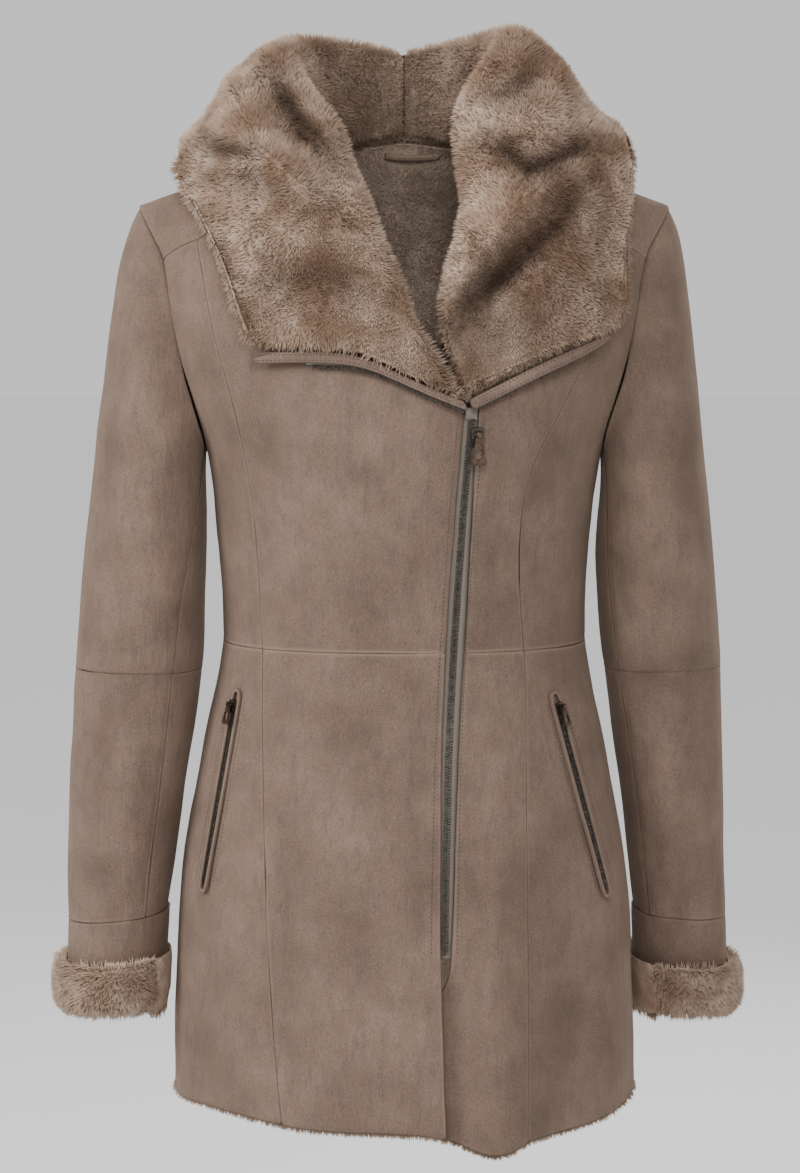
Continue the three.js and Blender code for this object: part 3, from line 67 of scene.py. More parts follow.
# Pale floor, and large soft lights: the key stands to the left, as the lit side of the coat shows
studio = {
    "floor": -1.4,
    "lights": [
        {"name": "key", "place": (-3.1, -1.7, 1.3), "aim": (0, 0, -0.35), "size": 1.4, "power": 112},
        {"name": "fill", "place": (2.4, -2.6, 0.1), "aim": (0, 0, -0.35), "size": 2.2, "power": 3},
        {"name": "top", "place": (-0.3, -0.5, 2.2), "aim": (0, 0, -0.2), "size": 1.4, "power": 16},
        {"name": "neck", "place": (0.04, -1.5, 0.42), "aim": (0.03, 0.06, -0.13), "size": 0.5, "power": 13},
        {"name": "back", "place": (0.9, 2.5, 0.9), "aim": (0, 0, -0.35), "size": 2.0, "power": 36},
    ],
    "sky": 0.8,
}


def makeStudio(spec):
    bm = bmesh.new()
    bmesh.ops.create_grid(bm, x_segments=1, y_segments=1, size=30)
    bmesh.ops.translate(bm, verts=bm.verts, vec=(0, 0, spec["floor"]))
    mesh = bpy.data.meshes.new("floor")
    bm.to_mesh(mesh)
    bm.free()
    floor = bpy.data.objects.new("floor", mesh)
    scene.collection.objects.link(floor)
    floor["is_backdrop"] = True
    for row in spec["lights"]:
        lamp = bpy.data.lights.new(row["name"], "AREA")
        lamp.size = row["size"]
        lamp.energy = row["power"]
        holder = bpy.data.objects.new(row["name"], lamp)
        holder.location = row["place"]
        to = Vector(row["aim"]) - Vector(row["place"])
        holder.rotation_euler = to.to_track_quat("-Z", "Y").to_euler()
        scene.collection.objects.link(holder)
    world = bpy.data.worlds.new("studio")
    world.use_nodes = True
    world.node_tree.nodes["Background"].inputs["Color"].default_value = (1, 1, 1, 1)
    world.node_tree.nodes["Background"].inputs["Strength"].default_value = spec["sky"]
    scene.world = world
    return floor


def linear(colour):
    parts = [int(colour[i : i + 2], 16) / 255 for i in (1, 3, 5)]
    return tuple(v / 12.92 if v < 0.04045 else ((v + 0.055) / 1.055) ** 2.4 for v in parts) + (1,)


def addNode(tree, kind, inputs=None, **settings):
    node = tree.nodes.new(kind)
    for key, value in settings.items():
        setattr(node, key, value)
    for key, value in (inputs or {}).items():
        if isinstance(value, bpy.types.NodeSocket):
            tree.links.new(value, node.inputs[key])
        else:
            node.inputs[key].default_value = value
    return node


def startMaterial(name):
    material = bpy.data.materials.new(name)
    material.use_nodes = True
    tree = material.node_tree
    tree.nodes.clear()
    return material, tree, addNode(tree, "ShaderNodeTexCoord").outputs["Object"]


def finishMaterial(tree, shader, colour, normal=None):
    links = {"Base Color": colour}
    if normal:
        links["Normal"] = normal
    surface = addNode(tree, "ShaderNodeBsdfPrincipled", {**shader, **links})
    addNode(tree, "ShaderNodeOutputMaterial", {"Surface": surface.outputs[0]})


def grain(tree, coords, size, detail=2.0, rough=0.5):
    settings = {"Vector": coords, "Scale": 1 / size, "Detail": detail, "Roughness": rough}
    return addNode(tree, "ShaderNodeTexNoise", settings).outputs["Fac"]


# A value kept on the mesh's own points
def stored(tree, name):
    return addNode(tree, "ShaderNodeAttribute", attribute_name=name).outputs["Fac"]


def spread(tree, value, low, high, to=(0.0, 1.0)):
    settings = {"Value": value, "From Min": low, "From Max": high, "To Min": to[0], "To Max": to[1]}
    return addNode(tree, "ShaderNodeMapRange", settings).outputs[0]


def spreadGrey(tree, value, low, high, to):
    grey = spread(tree, value, low, high, to)
    return addNode(tree, "ShaderNodeCombineXYZ", {"X": grey, "Y": grey, "Z": grey}).outputs[0]


def blend(tree, share, first, second, way="MIX"):
    inputs = {0: share, 6: first, 7: second}
    node = addNode(tree, "ShaderNodeMix", inputs, data_type="RGBA", blend_type=way)
    return node.outputs[2]


def bumped(tree, height, deep, under=None):
    inputs = {"Height": height, "Distance": deep, "Strength": 1.0}
    if under:
        inputs["Normal"] = under
    return addNode(tree, "ShaderNodeBump", inputs).outputs[0]


# Brushed suede: the flesh side of a sheepskin, buffed to a short nap. The nap lies in soft
# lighter and darker strokes, with a fine speckle. A painted highlight lies along the raised seams, and painted
# shade lies in their grooves and creases.
suedeLook = {
    "light": "#7d695d", "dark": "#5f4f45", "warm": "#705c50", "cool": "#5c514a",
    # The pale colour is the painted highlight on seam ridges and the paler waist line; the groove colour is
    # painted shade in seam grooves and creases
    "worn": "#8c7768", "groove": "#3f362f",
    "stroke": 62, "patch": 21, "streak": 7, "speck": 1.4, "nap": 0.7,  # sizes in mm
    # The last is how far painted shade darkens a crease
    "creaseShade": 0.5,  # how far a crease darkens
}


def makeSuede(look):
    material, tree, coords = startMaterial("brushed_suede")
    stroke = spread(tree, grain(tree, coords, look["stroke"] * mm, 3, 0.6), 0.3, 0.7)
    patch = spread(tree, grain(tree, coords, look["patch"] * mm, 4, 0.62), 0.32, 0.68)
    drawn = addNode(tree, "ShaderNodeMapping", {"Vector": coords, "Scale": (1, 1, 0.28)}).outputs[0]
    streak = spread(tree, grain(tree, drawn, look["streak"] * mm, 3, 0.6), 0.34, 0.68)
    colour = blend(tree, stroke, linear(look["dark"]), linear(look["light"]))
    colour = blend(tree, spread(tree, patch, 0.25, 1, (0, 0.5)), colour, linear(look["warm"]))
    colour = blend(tree, spread(tree, streak, 0.45, 1, (0, 0.42)), colour, linear(look["cool"]))
    speck = grain(tree, coords, look["speck"] * mm, 3, 0.75)
    colour = blend(tree, 1.0, colour, spreadGrey(tree, speck, 0.32, 0.68, (0.76, 1.22)), "MULTIPLY")
    # A paler line along the waist seam
    pale = stored(tree, "pale")
    colour = blend(tree, spread(tree, pale, 0, 1, (0, 0.75)), colour, linear(look["worn"]))
    # Painted highlight on the raised ridge beside each seam, and painted shade down in its groove
    seam = stored(tree, "seam")
    ridge = spread(tree, seam, 0.25, 0.7, (0, 0.26))
    colour = blend(tree, ridge, colour, linear(look["worn"]))
    groove = spread(tree, seam, 0.74, 0.98, (0, 0.7))
    colour = blend(tree, groove, colour, linear(look["groove"]))
    # Painted shade in the crease troughs. On the darker cuts this colour is partly painted shade and partly the
    # hide's own tone
    fold = stored(tree, "fold")
    shaded = spread(tree, fold, 0, 1, (0, look["creaseShade"]))
    colour = blend(tree, shaded, colour, linear(look["groove"]))
    normal = bumped(tree, speck, 0.22 * mm)
    normal = bumped(tree, grain(tree, coords, look["nap"] * mm, 2, 0.6), 0.12 * mm, normal)
    normal = bumped(tree, streak, 0.5 * mm, normal)
    shader = {"Roughness": 0.94, "Sheen Weight": 0.2, "Sheen Roughness": 0.5, "Specular IOR Level": 0.12,
              "Sheen Tint": linear("#cdb6a2")}
    finishMaterial(tree, shader, colour, normal)
    return material


# Sheep's fleece, combed and clipped to an even plush, pale at the tips. Its colour carries painted
# shade: browner down between the tufts, and dark in the folds and inside the back of the collar
fleeceLook = {
    # deep is the colour of the painted shade in the folds; root, that of the painted shade down between the
    # tufts
    "tip": "#e2c9b3", "middle": "#a2856f", "root": "#6d5748", "shade": "#7d6353", "deep": "#2c211a",
    "patch": 46, "lock": 13, "fibre": 1.3,  # sizes in mm
}
liningLook = {
    "tip": "#c9b6a5", "middle": "#a99686", "root": "#6b5b4f", "shade": "#8a786a", "deep": "#4a3e36",
    "patch": 30, "lock": 9, "fibre": 1.2,
}


def makeFleece(name, look, pile):
    material, tree, coords = startMaterial(name)
    patch = spread(tree, grain(tree, coords, look["patch"] * mm, 2, 0.5), 0.38, 0.62)
    lock = spread(tree, grain(tree, coords, look["lock"] * mm, 3, 0.55), 0.34, 0.68)
    fibre = grain(tree, coords, look["fibre"] * mm, 3, 0.7)
    tips = blend(tree, patch, linear(look["middle"]), linear(look["tip"]))
    tips = blend(tree, spread(tree, lock, 0, 1, (0.5, 0)), tips, linear(look["shade"]))
    fold = stored(tree, "fold")
    if pile:
        # Painted shade: each tuft darkens from its pale tip down to its root, where shade falls between the
        # tufts
        height = stored(tree, "pile")
        colour = blend(tree, spread(tree, height, 0, 0.85), linear(look["root"]), tips)
        normal = None
    else:
        colour = blend(tree, spread(tree, fibre, 0.25, 0.7), linear(look["root"]), tips)
        normal = bumped(tree, fibre, 0.7 * mm)
    # Painted shade from the fold share: dark in the collar's folds and inside its back, and on the lining and
    # hem fringe the panels' crease shade and darker cuts
    colour = blend(tree, spread(tree, fold, 0, 1, (0, 0.94)), colour, linear(look["deep"]))
    shader = {"Roughness": 0.9, "Sheen Weight": 0.35, "Sheen Roughness": 0.45, "Specular IOR Level": 0.1,
              "Sheen Tint": linear(look["tip"])}
    finishMaterial(tree, shader, colour, normal)
    return material


# Zip tape: woven polyester, a plain weave too fine to show at 0.3 mm, so drawn at 0.8 mm
def makeTape():
    material, tree, coords = startMaterial("woven_zip_tape")
    weave = {"Vector": coords, "Scale": 1 / (2 * 0.8 * mm), "Distortion": 1.5}
    wave = addNode(tree, "ShaderNodeTexWave", weave, bands_direction="Z").outputs["Fac"]
    colour = blend(tree, spread(tree, wave, 0, 1, (0.2, 0.8)), linear("#6f675e"), linear("#948b7f"))
    shader = {"Roughness": 0.85, "Specular IOR Level": 0.3}
    finishMaterial(tree, shader, colour, bumped(tree, wave, 0.1 * mm))
    return material


# Zip metal: brass plated to a dark gunmetal and tumbled, so the high spots are brighter and smooth
def makeMetal(name, low, high, rough):
    material, tree, coords = startMaterial(name)
    worn = spread(tree, grain(tree, coords, 3 * mm, 4, 0.6), 0.3, 0.7)
    colour = blend(tree, worn, linear(low), linear(high))
    normal = bumped(tree, grain(tree, coords, 0.6 * mm, 2, 0.5), 0.02 * mm)
    finishMaterial(tree, {"Metallic": 1.0, "Roughness": rough}, colour, normal)
    return material


# Thread: bonded polyester in the suede's darker brown
def makeThread():
    material, tree, coords = startMaterial("bonded_thread")
    twist = grain(tree, coords, 0.5 * mm, 2, 0.5)
    colour = blend(tree, spread(tree, twist, 0.3, 0.7), linear("#2f2721"), linear("#463a31"))
    finishMaterial(tree, {"Roughness": 0.6, "Specular IOR Level": 0.4}, colour)
    return material


floor = makeStudio(studio)
floorMaterial, floorTree, floorCoords = startMaterial("matt_white_paper")
finishMaterial(floorTree, {"Roughness": 0.9}, linear("#f6f6f6"))
floor.data.materials.append(floorMaterial)
suede = makeSuede(suedeLook)
lining = makeFleece("clipped_lining_fleece", liningLook, False)
liningPile = makeFleece("lining_fleece_pile", liningLook, True)
fleece = makeFleece("collar_fleece_ground", fleeceLook, False)
fleecePile = makeFleece("collar_fleece_pile", fleeceLook, True)
tape = makeTape()
gunmetal = makeMetal("gunmetal_plated_brass", "#2f2b28", "#6a645e", 0.34)
pullMetal = makeMetal("antique_plated_brass", "#463a31", "#6d5c4e", 0.36)
thread = makeThread()
print("materials made")


def pointsOf(mesh, normals=False):
    flat = np.zeros(len(mesh.vertices) * 3, np.float32)
    if normals:
        mesh.vertex_normals.foreach_get("vector", flat)
    else:
        mesh.vertices.foreach_get("co", flat)
    return flat.reshape(-1, 3).astype(float)


def movePoints(mesh, points):
    mesh.vertices.foreach_set("co", points.astype(np.float32).ravel())
    mesh.update()


def storeShare(mesh, name, values):
    layer = mesh.attributes.new(name, "FLOAT", "POINT")
    layer.data.foreach_set("value", np.asarray(values, np.float32))


# How a solid's triangles are joined to quads: lengths in mm, angles in degrees
joining = {"inner": 2.6, "level": 30, "thin": 1.5, "flat": 35, "square": 60, "sliver": 140}


# A panel turns sharply at its sewn edges, and a face that folds right back is only a sliver
def isSewnEdge(edge, sharp):
    return math.radians(sharp) < edge.calc_face_angle(0) < math.radians(joining["sliver"])


# A smooth copy of a solid: its quads are subdivided and its sewn edges kept sharp. Points that lie
# closer than merge, in mm, become one.
def smoothCopy(name, levels, sharp=50, merge=0.6):
    piece = bpy.data.objects.new(name + "_cloth", nodes[name].data.copy())
    scene.collection.objects.link(piece)
    bm = bmesh.new()
    bm.from_mesh(piece.data)
    bmesh.ops.remove_doubles(bm, verts=bm.verts, dist=merge * mm)
    if merge > 0.1:
        level = math.radians(joining["level"])
        inner = [v for v in bm.verts if all(e.calc_face_angle(9) < level for e in v.link_edges)]
        bmesh.ops.remove_doubles(bm, verts=inner, dist=joining["inner"] * mm)
    bmesh.ops.dissolve_degenerate(bm, edges=bm.edges, dist=merge * joining["thin"] * mm)
    bmesh.ops.join_triangles(bm, faces=bm.faces, angle_face_threshold=math.radians(joining["flat"]),
                             angle_shape_threshold=math.radians(joining["square"]))
    crease = bm.edges.layers.float.new("crease_edge")
    for edge in bm.edges:
        edge[crease] = 1.0 if isSewnEdge(edge, sharp) else 0.0
    bm.to_mesh(piece.data)
    bm.free()
    smooth = piece.modifiers.new("smooth", "SUBSURF")
    smooth.levels = levels
    smooth.render_levels = levels
    done = bpy.data.meshes.new_from_object(piece.evaluated_get(bpy.context.evaluated_depsgraph_get()))
    piece.modifiers.clear()
    piece.data = done
    done.materials.clear()
    done.shade_smooth()
    done.set_sharp_from_angle(angle=math.radians(sharp))
    return piece


# How near each point is to a sewn edge, from 1 on it to 0 at the reach
def seamShares(mesh, reach=3.2 * mm, sharp=50):
    bm = bmesh.new()
    bm.from_mesh(mesh)
    edges = [v.co.copy() for v in bm.verts if any(isSewnEdge(e, sharp) for e in v.link_edges)]
    tree = KDTree(max(len(edges), 1))
    for i, point in enumerate(edges):
        tree.insert(point, i)
    tree.balance()
    shares = [max(0.0, 1 - tree.find(v.co)[2] / reach) if edges else 0.0 for v in bm.verts]
    bm.free()
    return shares


# The line down the middle of each hollow, which tells a piece's fleece side from its suede side
sleeveAxis = {
    "right": [(-196, 0, -60), (-215, 0, -420), (-233, -2, -625), (-242, -6, -720)],
    "left": [(196, 0, -60), (209, 6, -420), (224, 34, -630), (238, 50, -720)],
}


bodyMiddle = {"narrow": 0.62, "top": -130}  # share of the point's own x, and the highest z in mm


def middleFor(name, points):
    if not name.startswith(("sleeve", "cuff")):
        middle = points * (bodyMiddle["narrow"], 0, 1)
        middle[:, 2] = np.minimum(points[:, 2], bodyMiddle["top"] * mm)
        return middle
    rows = np.array(sleeveAxis["left" if name.endswith("left") else "right"]) * mm
    order = np.argsort(rows[:, 2])
    x, y = (np.interp(points[:, 2], rows[order, 2], rows[order, k]) for k in (0, 1))
    return np.stack([x, y, points[:, 2]], 1)


# The fleece side and the hem's cut edge take the inside's material
def paintSides(piece, name, outside, inside):
    mesh = piece.data
    mesh.materials.append(outside)
    mesh.materials.append(inside)
    count = len(mesh.polygons)
    centres = np.zeros(count * 3, np.float32)
    normals = np.zeros(count * 3, np.float32)
    mesh.polygons.foreach_get("center", centres)
    mesh.polygons.foreach_get("normal", normals)
    centres = centres.reshape(-1, 3).astype(float)
    normals = normals.reshape(-1, 3).astype(float)
    out = centres - middleFor(name, centres)
    out /= np.linalg.norm(out, axis=1, keepdims=True) + 1e-9
    facing = (out * normals).sum(1)
    hem = (normals[:, 2] < -0.75) & (centres[:, 2] < -0.7)
    inner = ((facing < -0.3) | hem).astype(np.int32)
    mesh.polygons.foreach_set("material_index", inner)


# Soft creases laid in the cloth, as seen from the front or the back. Each runs down a line of
# x and z in mm, and is a trough where deep is positive and a ridge where it is negative.
creases = [
    {"on": "body", "side": -1, "line": [(-128, -196), (-104, -232), (-84, -276)], "deep": 1.9, "wide": 9},
    {"on": "body", "side": -1, "line": [(-100, -186), (-78, -226), (-66, -250)], "deep": -1.3, "wide": 8},
    {"on": "body", "side": -1, "line": [(-132, -262), (-112, -300), (-104, -344)], "deep": 1.6, "wide": 8},
    {"on": "body", "side": -1, "line": [(-60, -226), (-26, -264), (6, -318)], "deep": 1.5, "wide": 12},
    {"on": "body", "side": -1, "line": [(20, -300), (8, -342), (12, -392)], "deep": 1.4, "wide": 8},
    {"on": "body", "side": -1, "line": [(122, -214), (104, -262), (96, -318)], "deep": 2.1, "wide": 9},
    {"on": "body", "side": -1, "line": [(138, -246), (126, -292), (122, -340)], "deep": -1.5, "wide": 8},
    {"on": "body", "side": -1, "line": [(74, -262), (66, -300), (70, -352)], "deep": 1.3, "wide": 7},
    {"on": "body", "side": -1, "line": [(22, -430), (10, -520), (14, -640)], "deep": 2.2, "wide": 13},
    {"on": "body", "side": -1, "line": [(-34, -450), (-48, -560), (-44, -700)], "deep": -2.2, "wide": 17},
    {"on": "body", "side": -1, "line": [(-84, -470), (-92, -590), (-88, -742)], "deep": 2.3, "wide": 14},
    {"on": "body", "side": -1, "line": [(-128, -610), (-134, -680), (-132, -752)], "deep": -1.8, "wide": 13},
    {"on": "body", "side": -1, "line": [(-152, -640), (-158, -700), (-160, -760)], "deep": 1.6, "wide": 9},
    {"on": "body", "side": -1, "line": [(70, -440), (74, -560), (70, -700)], "deep": -2.4, "wide": 13},
    {"on": "body", "side": -1, "line": [(122, -620), (130, -690), (128, -758)], "deep": 2.0, "wide": 11},
    {"on": "body", "side": -1, "line": [(152, -610), (160, -680), (164, -740)], "deep": -1.5, "wide": 10},
    {"on": "body", "side": 1, "line": [(-132, -190), (-112, -236), (-104, -290)], "deep": 1.8, "wide": 9},
    {"on": "body", "side": 1, "line": [(126, -206), (110, -246), (98, -310)], "deep": 1.6, "wide": 10},
    {"on": "body", "side": 1, "line": [(-58, -330), (-24, -352), (14, -348)], "deep": 2.0, "wide": 8},
    {"on": "body", "side": 1, "line": [(66, -352), (30, -372), (-10, -376)], "deep": 1.7, "wide": 7},
    {"on": "body", "side": 1, "line": [(-88, -440), (-100, -560), (-96, -720)], "deep": -2.0, "wide": 15},
    {"on": "body", "side": 1, "line": [(-40, -430), (-34, -540), (-42, -690)], "deep": 2.4, "wide": 13},
    {"on": "body", "side": 1, "line": [(48, -450), (56, -590), (50, -740)], "deep": 2.0, "wide": 14},
    {"on": "body", "side": 1, "line": [(104, -470), (112, -600), (118, -730)], "deep": -1.8, "wide": 15},
    {"on": "sleeve", "side": -1, "line": [(-228, -150), (-236, -236), (-240, -330)], "deep": 2.4, "wide": 8},
    {"on": "sleeve", "side": -1, "line": [(-196, -230), (-206, -300), (-206, -372)], "deep": -1.8, "wide": 10},
    {"on": "sleeve", "side": -1, "line": [(-172, -352), (-190, -386), (-218, -402)], "deep": 2.4, "wide": 7},
    {"on": "sleeve", "side": -1, "line": [(-176, -420), (-202, -432), (-236, -428)], "deep": 1.7, "wide": 6},
    {"on": "sleeve", "side": -1, "line": [(-250, -390), (-238, -452), (-242, -530)], "deep": 1.9, "wide": 8},
    {"on": "sleeve", "side": -1, "line": [(-212, -470), (-224, -540), (-226, -610)], "deep": -1.8, "wide": 10},
    {"on": "sleeve", "side": -1, "line": [(-202, -560), (-214, -600), (-236, -622)], "deep": 1.6, "wide": 7},
    {"on": "sleeve", "side": -1, "line": [(222, -140), (228, -226), (226, -318)], "deep": 2.2, "wide": 8},
    {"on": "sleeve", "side": -1, "line": [(190, -236), (196, -306), (200, -362)], "deep": -1.7, "wide": 9},
    {"on": "sleeve", "side": -1, "line": [(168, -340), (184, -378), (214, -392)], "deep": 2.3, "wide": 7},
    {"on": "sleeve", "side": -1, "line": [(172, -432), (198, -428), (232, -440)], "deep": 1.8, "wide": 6},
    {"on": "sleeve", "side": -1, "line": [(240, -380), (232, -448), (238, -536)], "deep": 2.0, "wide": 9},
    {"on": "sleeve", "side": -1, "line": [(206, -462), (214, -540), (220, -620)], "deep": -1.6, "wide": 10},
    {"on": "sleeve", "side": -1, "line": [(236, -600), (222, -640), (206, -652)], "deep": 1.6, "wide": 7},
    {"on": "sleeve", "side": 1, "line": [(-178, -372), (-206, -388), (-240, -380)], "deep": 2.5, "wide": 7},
    {"on": "sleeve", "side": 1, "line": [(-182, -436), (-212, -446), (-246, -434)], "deep": 2.0, "wide": 7},
    {"on": "sleeve", "side": 1, "line": [(-214, -180), (-222, -250), (-216, -320)], "deep": 1.9, "wide": 9},
    {"on": "sleeve", "side": 1, "line": [(-224, -500), (-234, -560), (-230, -620)], "deep": -1.6, "wide": 10},
    {"on": "sleeve", "side": 1, "line": [(174, -366), (204, -384), (236, -374)], "deep": 2.2, "wide": 7},
    {"on": "sleeve", "side": 1, "line": [(180, -440), (210, -452), (240, -444)], "deep": 2.1, "wide": 6},
    {"on": "sleeve", "side": 1, "line": [(208, -190), (216, -256), (208, -330)], "deep": 1.7, "wide": 10},
    {"on": "sleeve", "side": 1, "line": [(216, -510), (226, -570), (222, -640)], "deep": -1.7, "wide": 9},
]


# How near each point is to a line of x and z, from 1 on it to 0, fading to the line's ends
def nearLine(points, line, wide):
    flat = points[:, [0, 2]]
    line = np.array(line, float) * mm
    lengths = np.linalg.norm(np.diff(line, axis=0), axis=1)
    best = np.full(len(flat), np.inf)
    place = np.zeros(len(flat))
    for k in range(len(line) - 1):
        a, b = line[k], line[k + 1]
        along = np.clip(((flat - a) @ (b - a)) / ((b - a) @ (b - a)), 0, 1)
        away = np.linalg.norm(flat - (a + along[:, None] * (b - a)), axis=1)
        closer = away < best
        best[closer] = away[closer]
        place[closer] = (lengths[:k].sum() + along[closer] * lengths[k]) / lengths.sum()
    fade = np.sin(np.clip(place, 0.03, 0.97) * math.pi) ** 0.7
    return fade * np.exp(-((best / (wide * mm)) ** 2))


# Both faces of a panel move together, so the skin keeps its thickness
def pressCreases(name, points):
    out = points - middleFor(name, points)
    out /= np.linalg.norm(out, axis=1, keepdims=True) + 1e-9
    kind = "sleeve" if name.startswith("sleeve") else "body"
    deep = np.zeros(len(points))
    for row in creases:
        if row["on"] == kind:
            faces = np.clip(out[:, 1] * row["side"] * 3, 0, 1)
            deep += row["deep"] * faces * nearLine(points, row["line"], row["wide"])
    # The second value is painted shade: the deeper a trough, the darker it is coloured
    return points - out * (deep * mm)[:, None], np.clip(deep / 5, 0, 1)


# The slack of soft skin between its creases
ripples = {"broad": 55, "broadDeep": 1.1, "small": 17, "smallDeep": 0.35}  # mm


def rippleCloth(points, normals):
    rows = [
        ripples["broadDeep"] * noise.noise(Vector(p) / (ripples["broad"] * mm))
        + ripples["smallDeep"] * noise.noise(Vector(p) / (ripples["small"] * mm))
        for p in points
    ]
    return points + normals * (np.array(rows) * mm)[:, None]


# Each cloth piece that shows, kept by the name of the solid it stands for
shells = {}


# How much darker each cut lies than the palest: partly the hides' own tone, partly painted shade on the cuts
# turned away from the key light
hideToneAndShade = {
    "skirt_front_left": 0.14, "skirt_side_front_left": 0.16, "bodice_front_left": 0.16,
    "bodice_side_front_left": 0.3, "sleeve_top_upper_left": 0.16, "sleeve_top_lower_left": 0.14,
    "sleeve_under_upper_left": 0.26, "sleeve_under_lower_left": 0.24, "sleeve_band_left": 0.2,
    "sleeve_under_upper_right": 0.18, "sleeve_under_lower_right": 0.16, "sleeve_band_right": 0.08,
    "skirt_side_front_right": 0.06, "bodice_side_front_right": 0.08, "skirt_back_left": 0.08,
    "skirt_side_back_right": 0.1, "bodice_back_right": 0.07, "yoke_back": 0.05,
}
# The ridge of a sewn seam, the heights between which a sleeve's elbow seam is quiet, and the paler line
# along the waist seam, in mm
seamLook = {"push": 0.55, "quiet": (-428, -392), "waist": -401, "waistWide": 1.7}


def dressPanel(name, levels=2, outside=None, inside=None, press=True):
    piece = smoothCopy(name, levels, 50, 0.6 if press else 0.02)
    mesh = piece.data
    seam = np.array(seamShares(mesh))
    fold = np.zeros(len(seam))
    pale = np.zeros(len(seam))
    if press:
        points, fold = pressCreases(name, pointsOf(mesh))
        movePoints(mesh, points)
        normals = pointsOf(mesh, True)
        points = rippleCloth(points, normals)
        points += normals * (np.clip(seam * 4 - 3, 0, 1) * seamLook["push"] * mm)[:, None]
        movePoints(mesh, points)
        low, high = seamLook["quiet"]
        quiet = (points[:, 2] > low * mm) & (points[:, 2] < high * mm)
        if name.startswith("sleeve_top"):
            seam[quiet] *= 0.12
        elif not name.startswith("sleeve"):
            away = (points[:, 2] - seamLook["waist"] * mm) / (seamLook["waistWide"] * mm)
            pale = np.exp(-away * away)
    storeShare(mesh, "seam", seam)
    # The fold share: painted shade in the crease troughs, plus each cut's darkening, partly tone and partly
    # painted shade
    storeShare(mesh, "fold", np.clip(fold + hideToneAndShade.get(name, 0), 0, 1))
    storeShare(mesh, "pale", pale)
    paintSides(piece, name, outside or suede, inside or lining)
    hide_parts(name)
    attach(piece, "coat")
    shells[name] = piece
    return piece


bodyPanels = [n for n in nodes if n.startswith(("skirt", "bodice", "yoke", "sleeve"))]
for name in bodyPanels:
    dressPanel(name)
for name in nodes:
    if name.startswith(("lapel_band", "pocket_welt")) or name == "neck_loop":
        dressPanel(name, 1, suede, suede, press=False)
    if name.startswith("zip_tape"):
        dressPanel(name, 1, tape, tape, press=False)
print("panels dressed:", len(shells))


def treeOf(pieces):
    verts, faces = [], []
    for piece in pieces:
        start = len(verts)
        verts += [v.co.copy() for v in piece.data.vertices]
        faces += [[start + i for i in p.vertices] for p in piece.data.polygons]
    return BVHTree.FromPolygons(verts, faces)


# Folds of the turned-over collar, as seen from the front: lines of x and z in mm, troughs where deep
# is positive and rolls where it is negative, with how much painted shade is laid in them
collarFolds = [
    {"line": [(66, 8), (84, -6), (99, -20), (118, -14), (136, -4), (158, 4)], "deep": 8.5, "wide": 10,
     "dark": 1.0},
    {"line": [(60, -6), (78, 20), (106, 36), (138, 32)], "deep": -10, "wide": 13, "dark": 0},
    {"line": [(82, -38), (104, -36), (122, -24), (154, -14)], "deep": -9, "wide": 9, "dark": 0},
    {"line": [(146, -26), (120, -60), (92, -88), (52, -124), (28, -160)], "deep": 4.5, "wide": 12, "dark": 1.0},
    {"line": [(26, -174), (62, -144), (112, -116)], "deep": 1.5, "wide": 26, "dark": 0.45},
    {"line": [(36, -122), (56, -90), (74, -60), (84, -30)], "deep": -9, "wide": 11, "dark": 0},
    {"line": [(78, -146), (110, -108), (140, -72)], "deep": -5, "wide": 16, "dark": 0},
    {"line": [(108, 70), (94, 48), (68, 40)], "deep": 6, "wide": 8, "dark": 0.8},
    {"line": [(156, 2), (160, -40), (153, -90), (158, -140)], "deep": 4, "wide": 6, "dark": 0.5},
    {"line": [(168, 0), (173, -60), (171, -132)], "deep": -4, "wide": 7, "dark": 0},
    {"line": [(-110, 70), (-98, 40), (-78, 12), (-52, -14)], "deep": 5, "wide": 9, "dark": 1.0},
    {"line": [(-130, 60), (-120, 24), (-98, -8), (-68, -44), (-42, -88)], "deep": -9, "wide": 12, "dark": 0},
    {"line": [(-168, 24), (-155, 4), (-142, -4), (-118, -6)], "deep": 7.5, "wide": 8, "dark": 1.0},
    {"line": [(-154, 34), (-140, 16), (-122, 8)], "deep": -7, "wide": 9, "dark": 0},
    {"line": [(-162, -24), (-140, -22), (-116, -30), (-92, -44), (-66, -54)], "deep": 4, "wide": 10,
     "dark": 0.4},
    {"line": [(-132, -60), (-98, -74), (-60, -82)], "deep": -6, "wide": 14, "dark": 0},
    {"line": [(-122, -106), (-92, -112), (-56, -104), (-18, -120)], "deep": 4.5, "wide": 13, "dark": 0.5},
    {"line": [(-100, -150), (-58, -148), (-14, -160)], "deep": -5, "wide": 11, "dark": 0},
    {"line": [(-172, -24), (-160, -76), (-147, -128), (-130, -166)], "deep": -4, "wide": 7, "dark": 0},
    {"line": [(-152, -58), (-137, -108), (-118, -152)], "deep": 3, "wide": 7, "dark": 0.3},
]


collarShade = 0.56  # how dark the fleece lies inside the back of the collar
foldSpread = 0.45  # power of the nearness: the shade of a fold spreads wider than its trough


def foldsAt(points):
    deep = np.zeros(len(points))
    dark = np.zeros(len(points))
    for row in collarFolds:
        near = nearLine(points, row["line"], row["wide"])
        deep += row["deep"] * near
        dark = np.maximum(dark, row["dark"] * near**foldSpread)
    return deep, dark


seating = {
    "sunk": 0.8, "wallShare": 0.4,  # how deep the ground sinks: a share of the pile, and at most of the wall
    "tucked": 0.15,  # the share of that where it lies on the coat
    "spare": 2, "noWall": 20, "start": 0.2,  # mm: wall left under a trough, open wall, start of a ray
    "middle": 12, "closing": 0.7,  # mm about the centre back, and how much nearer the halves close there
    "shadeFrom": 10, "shadeOver": 40,  # mm towards the back
}


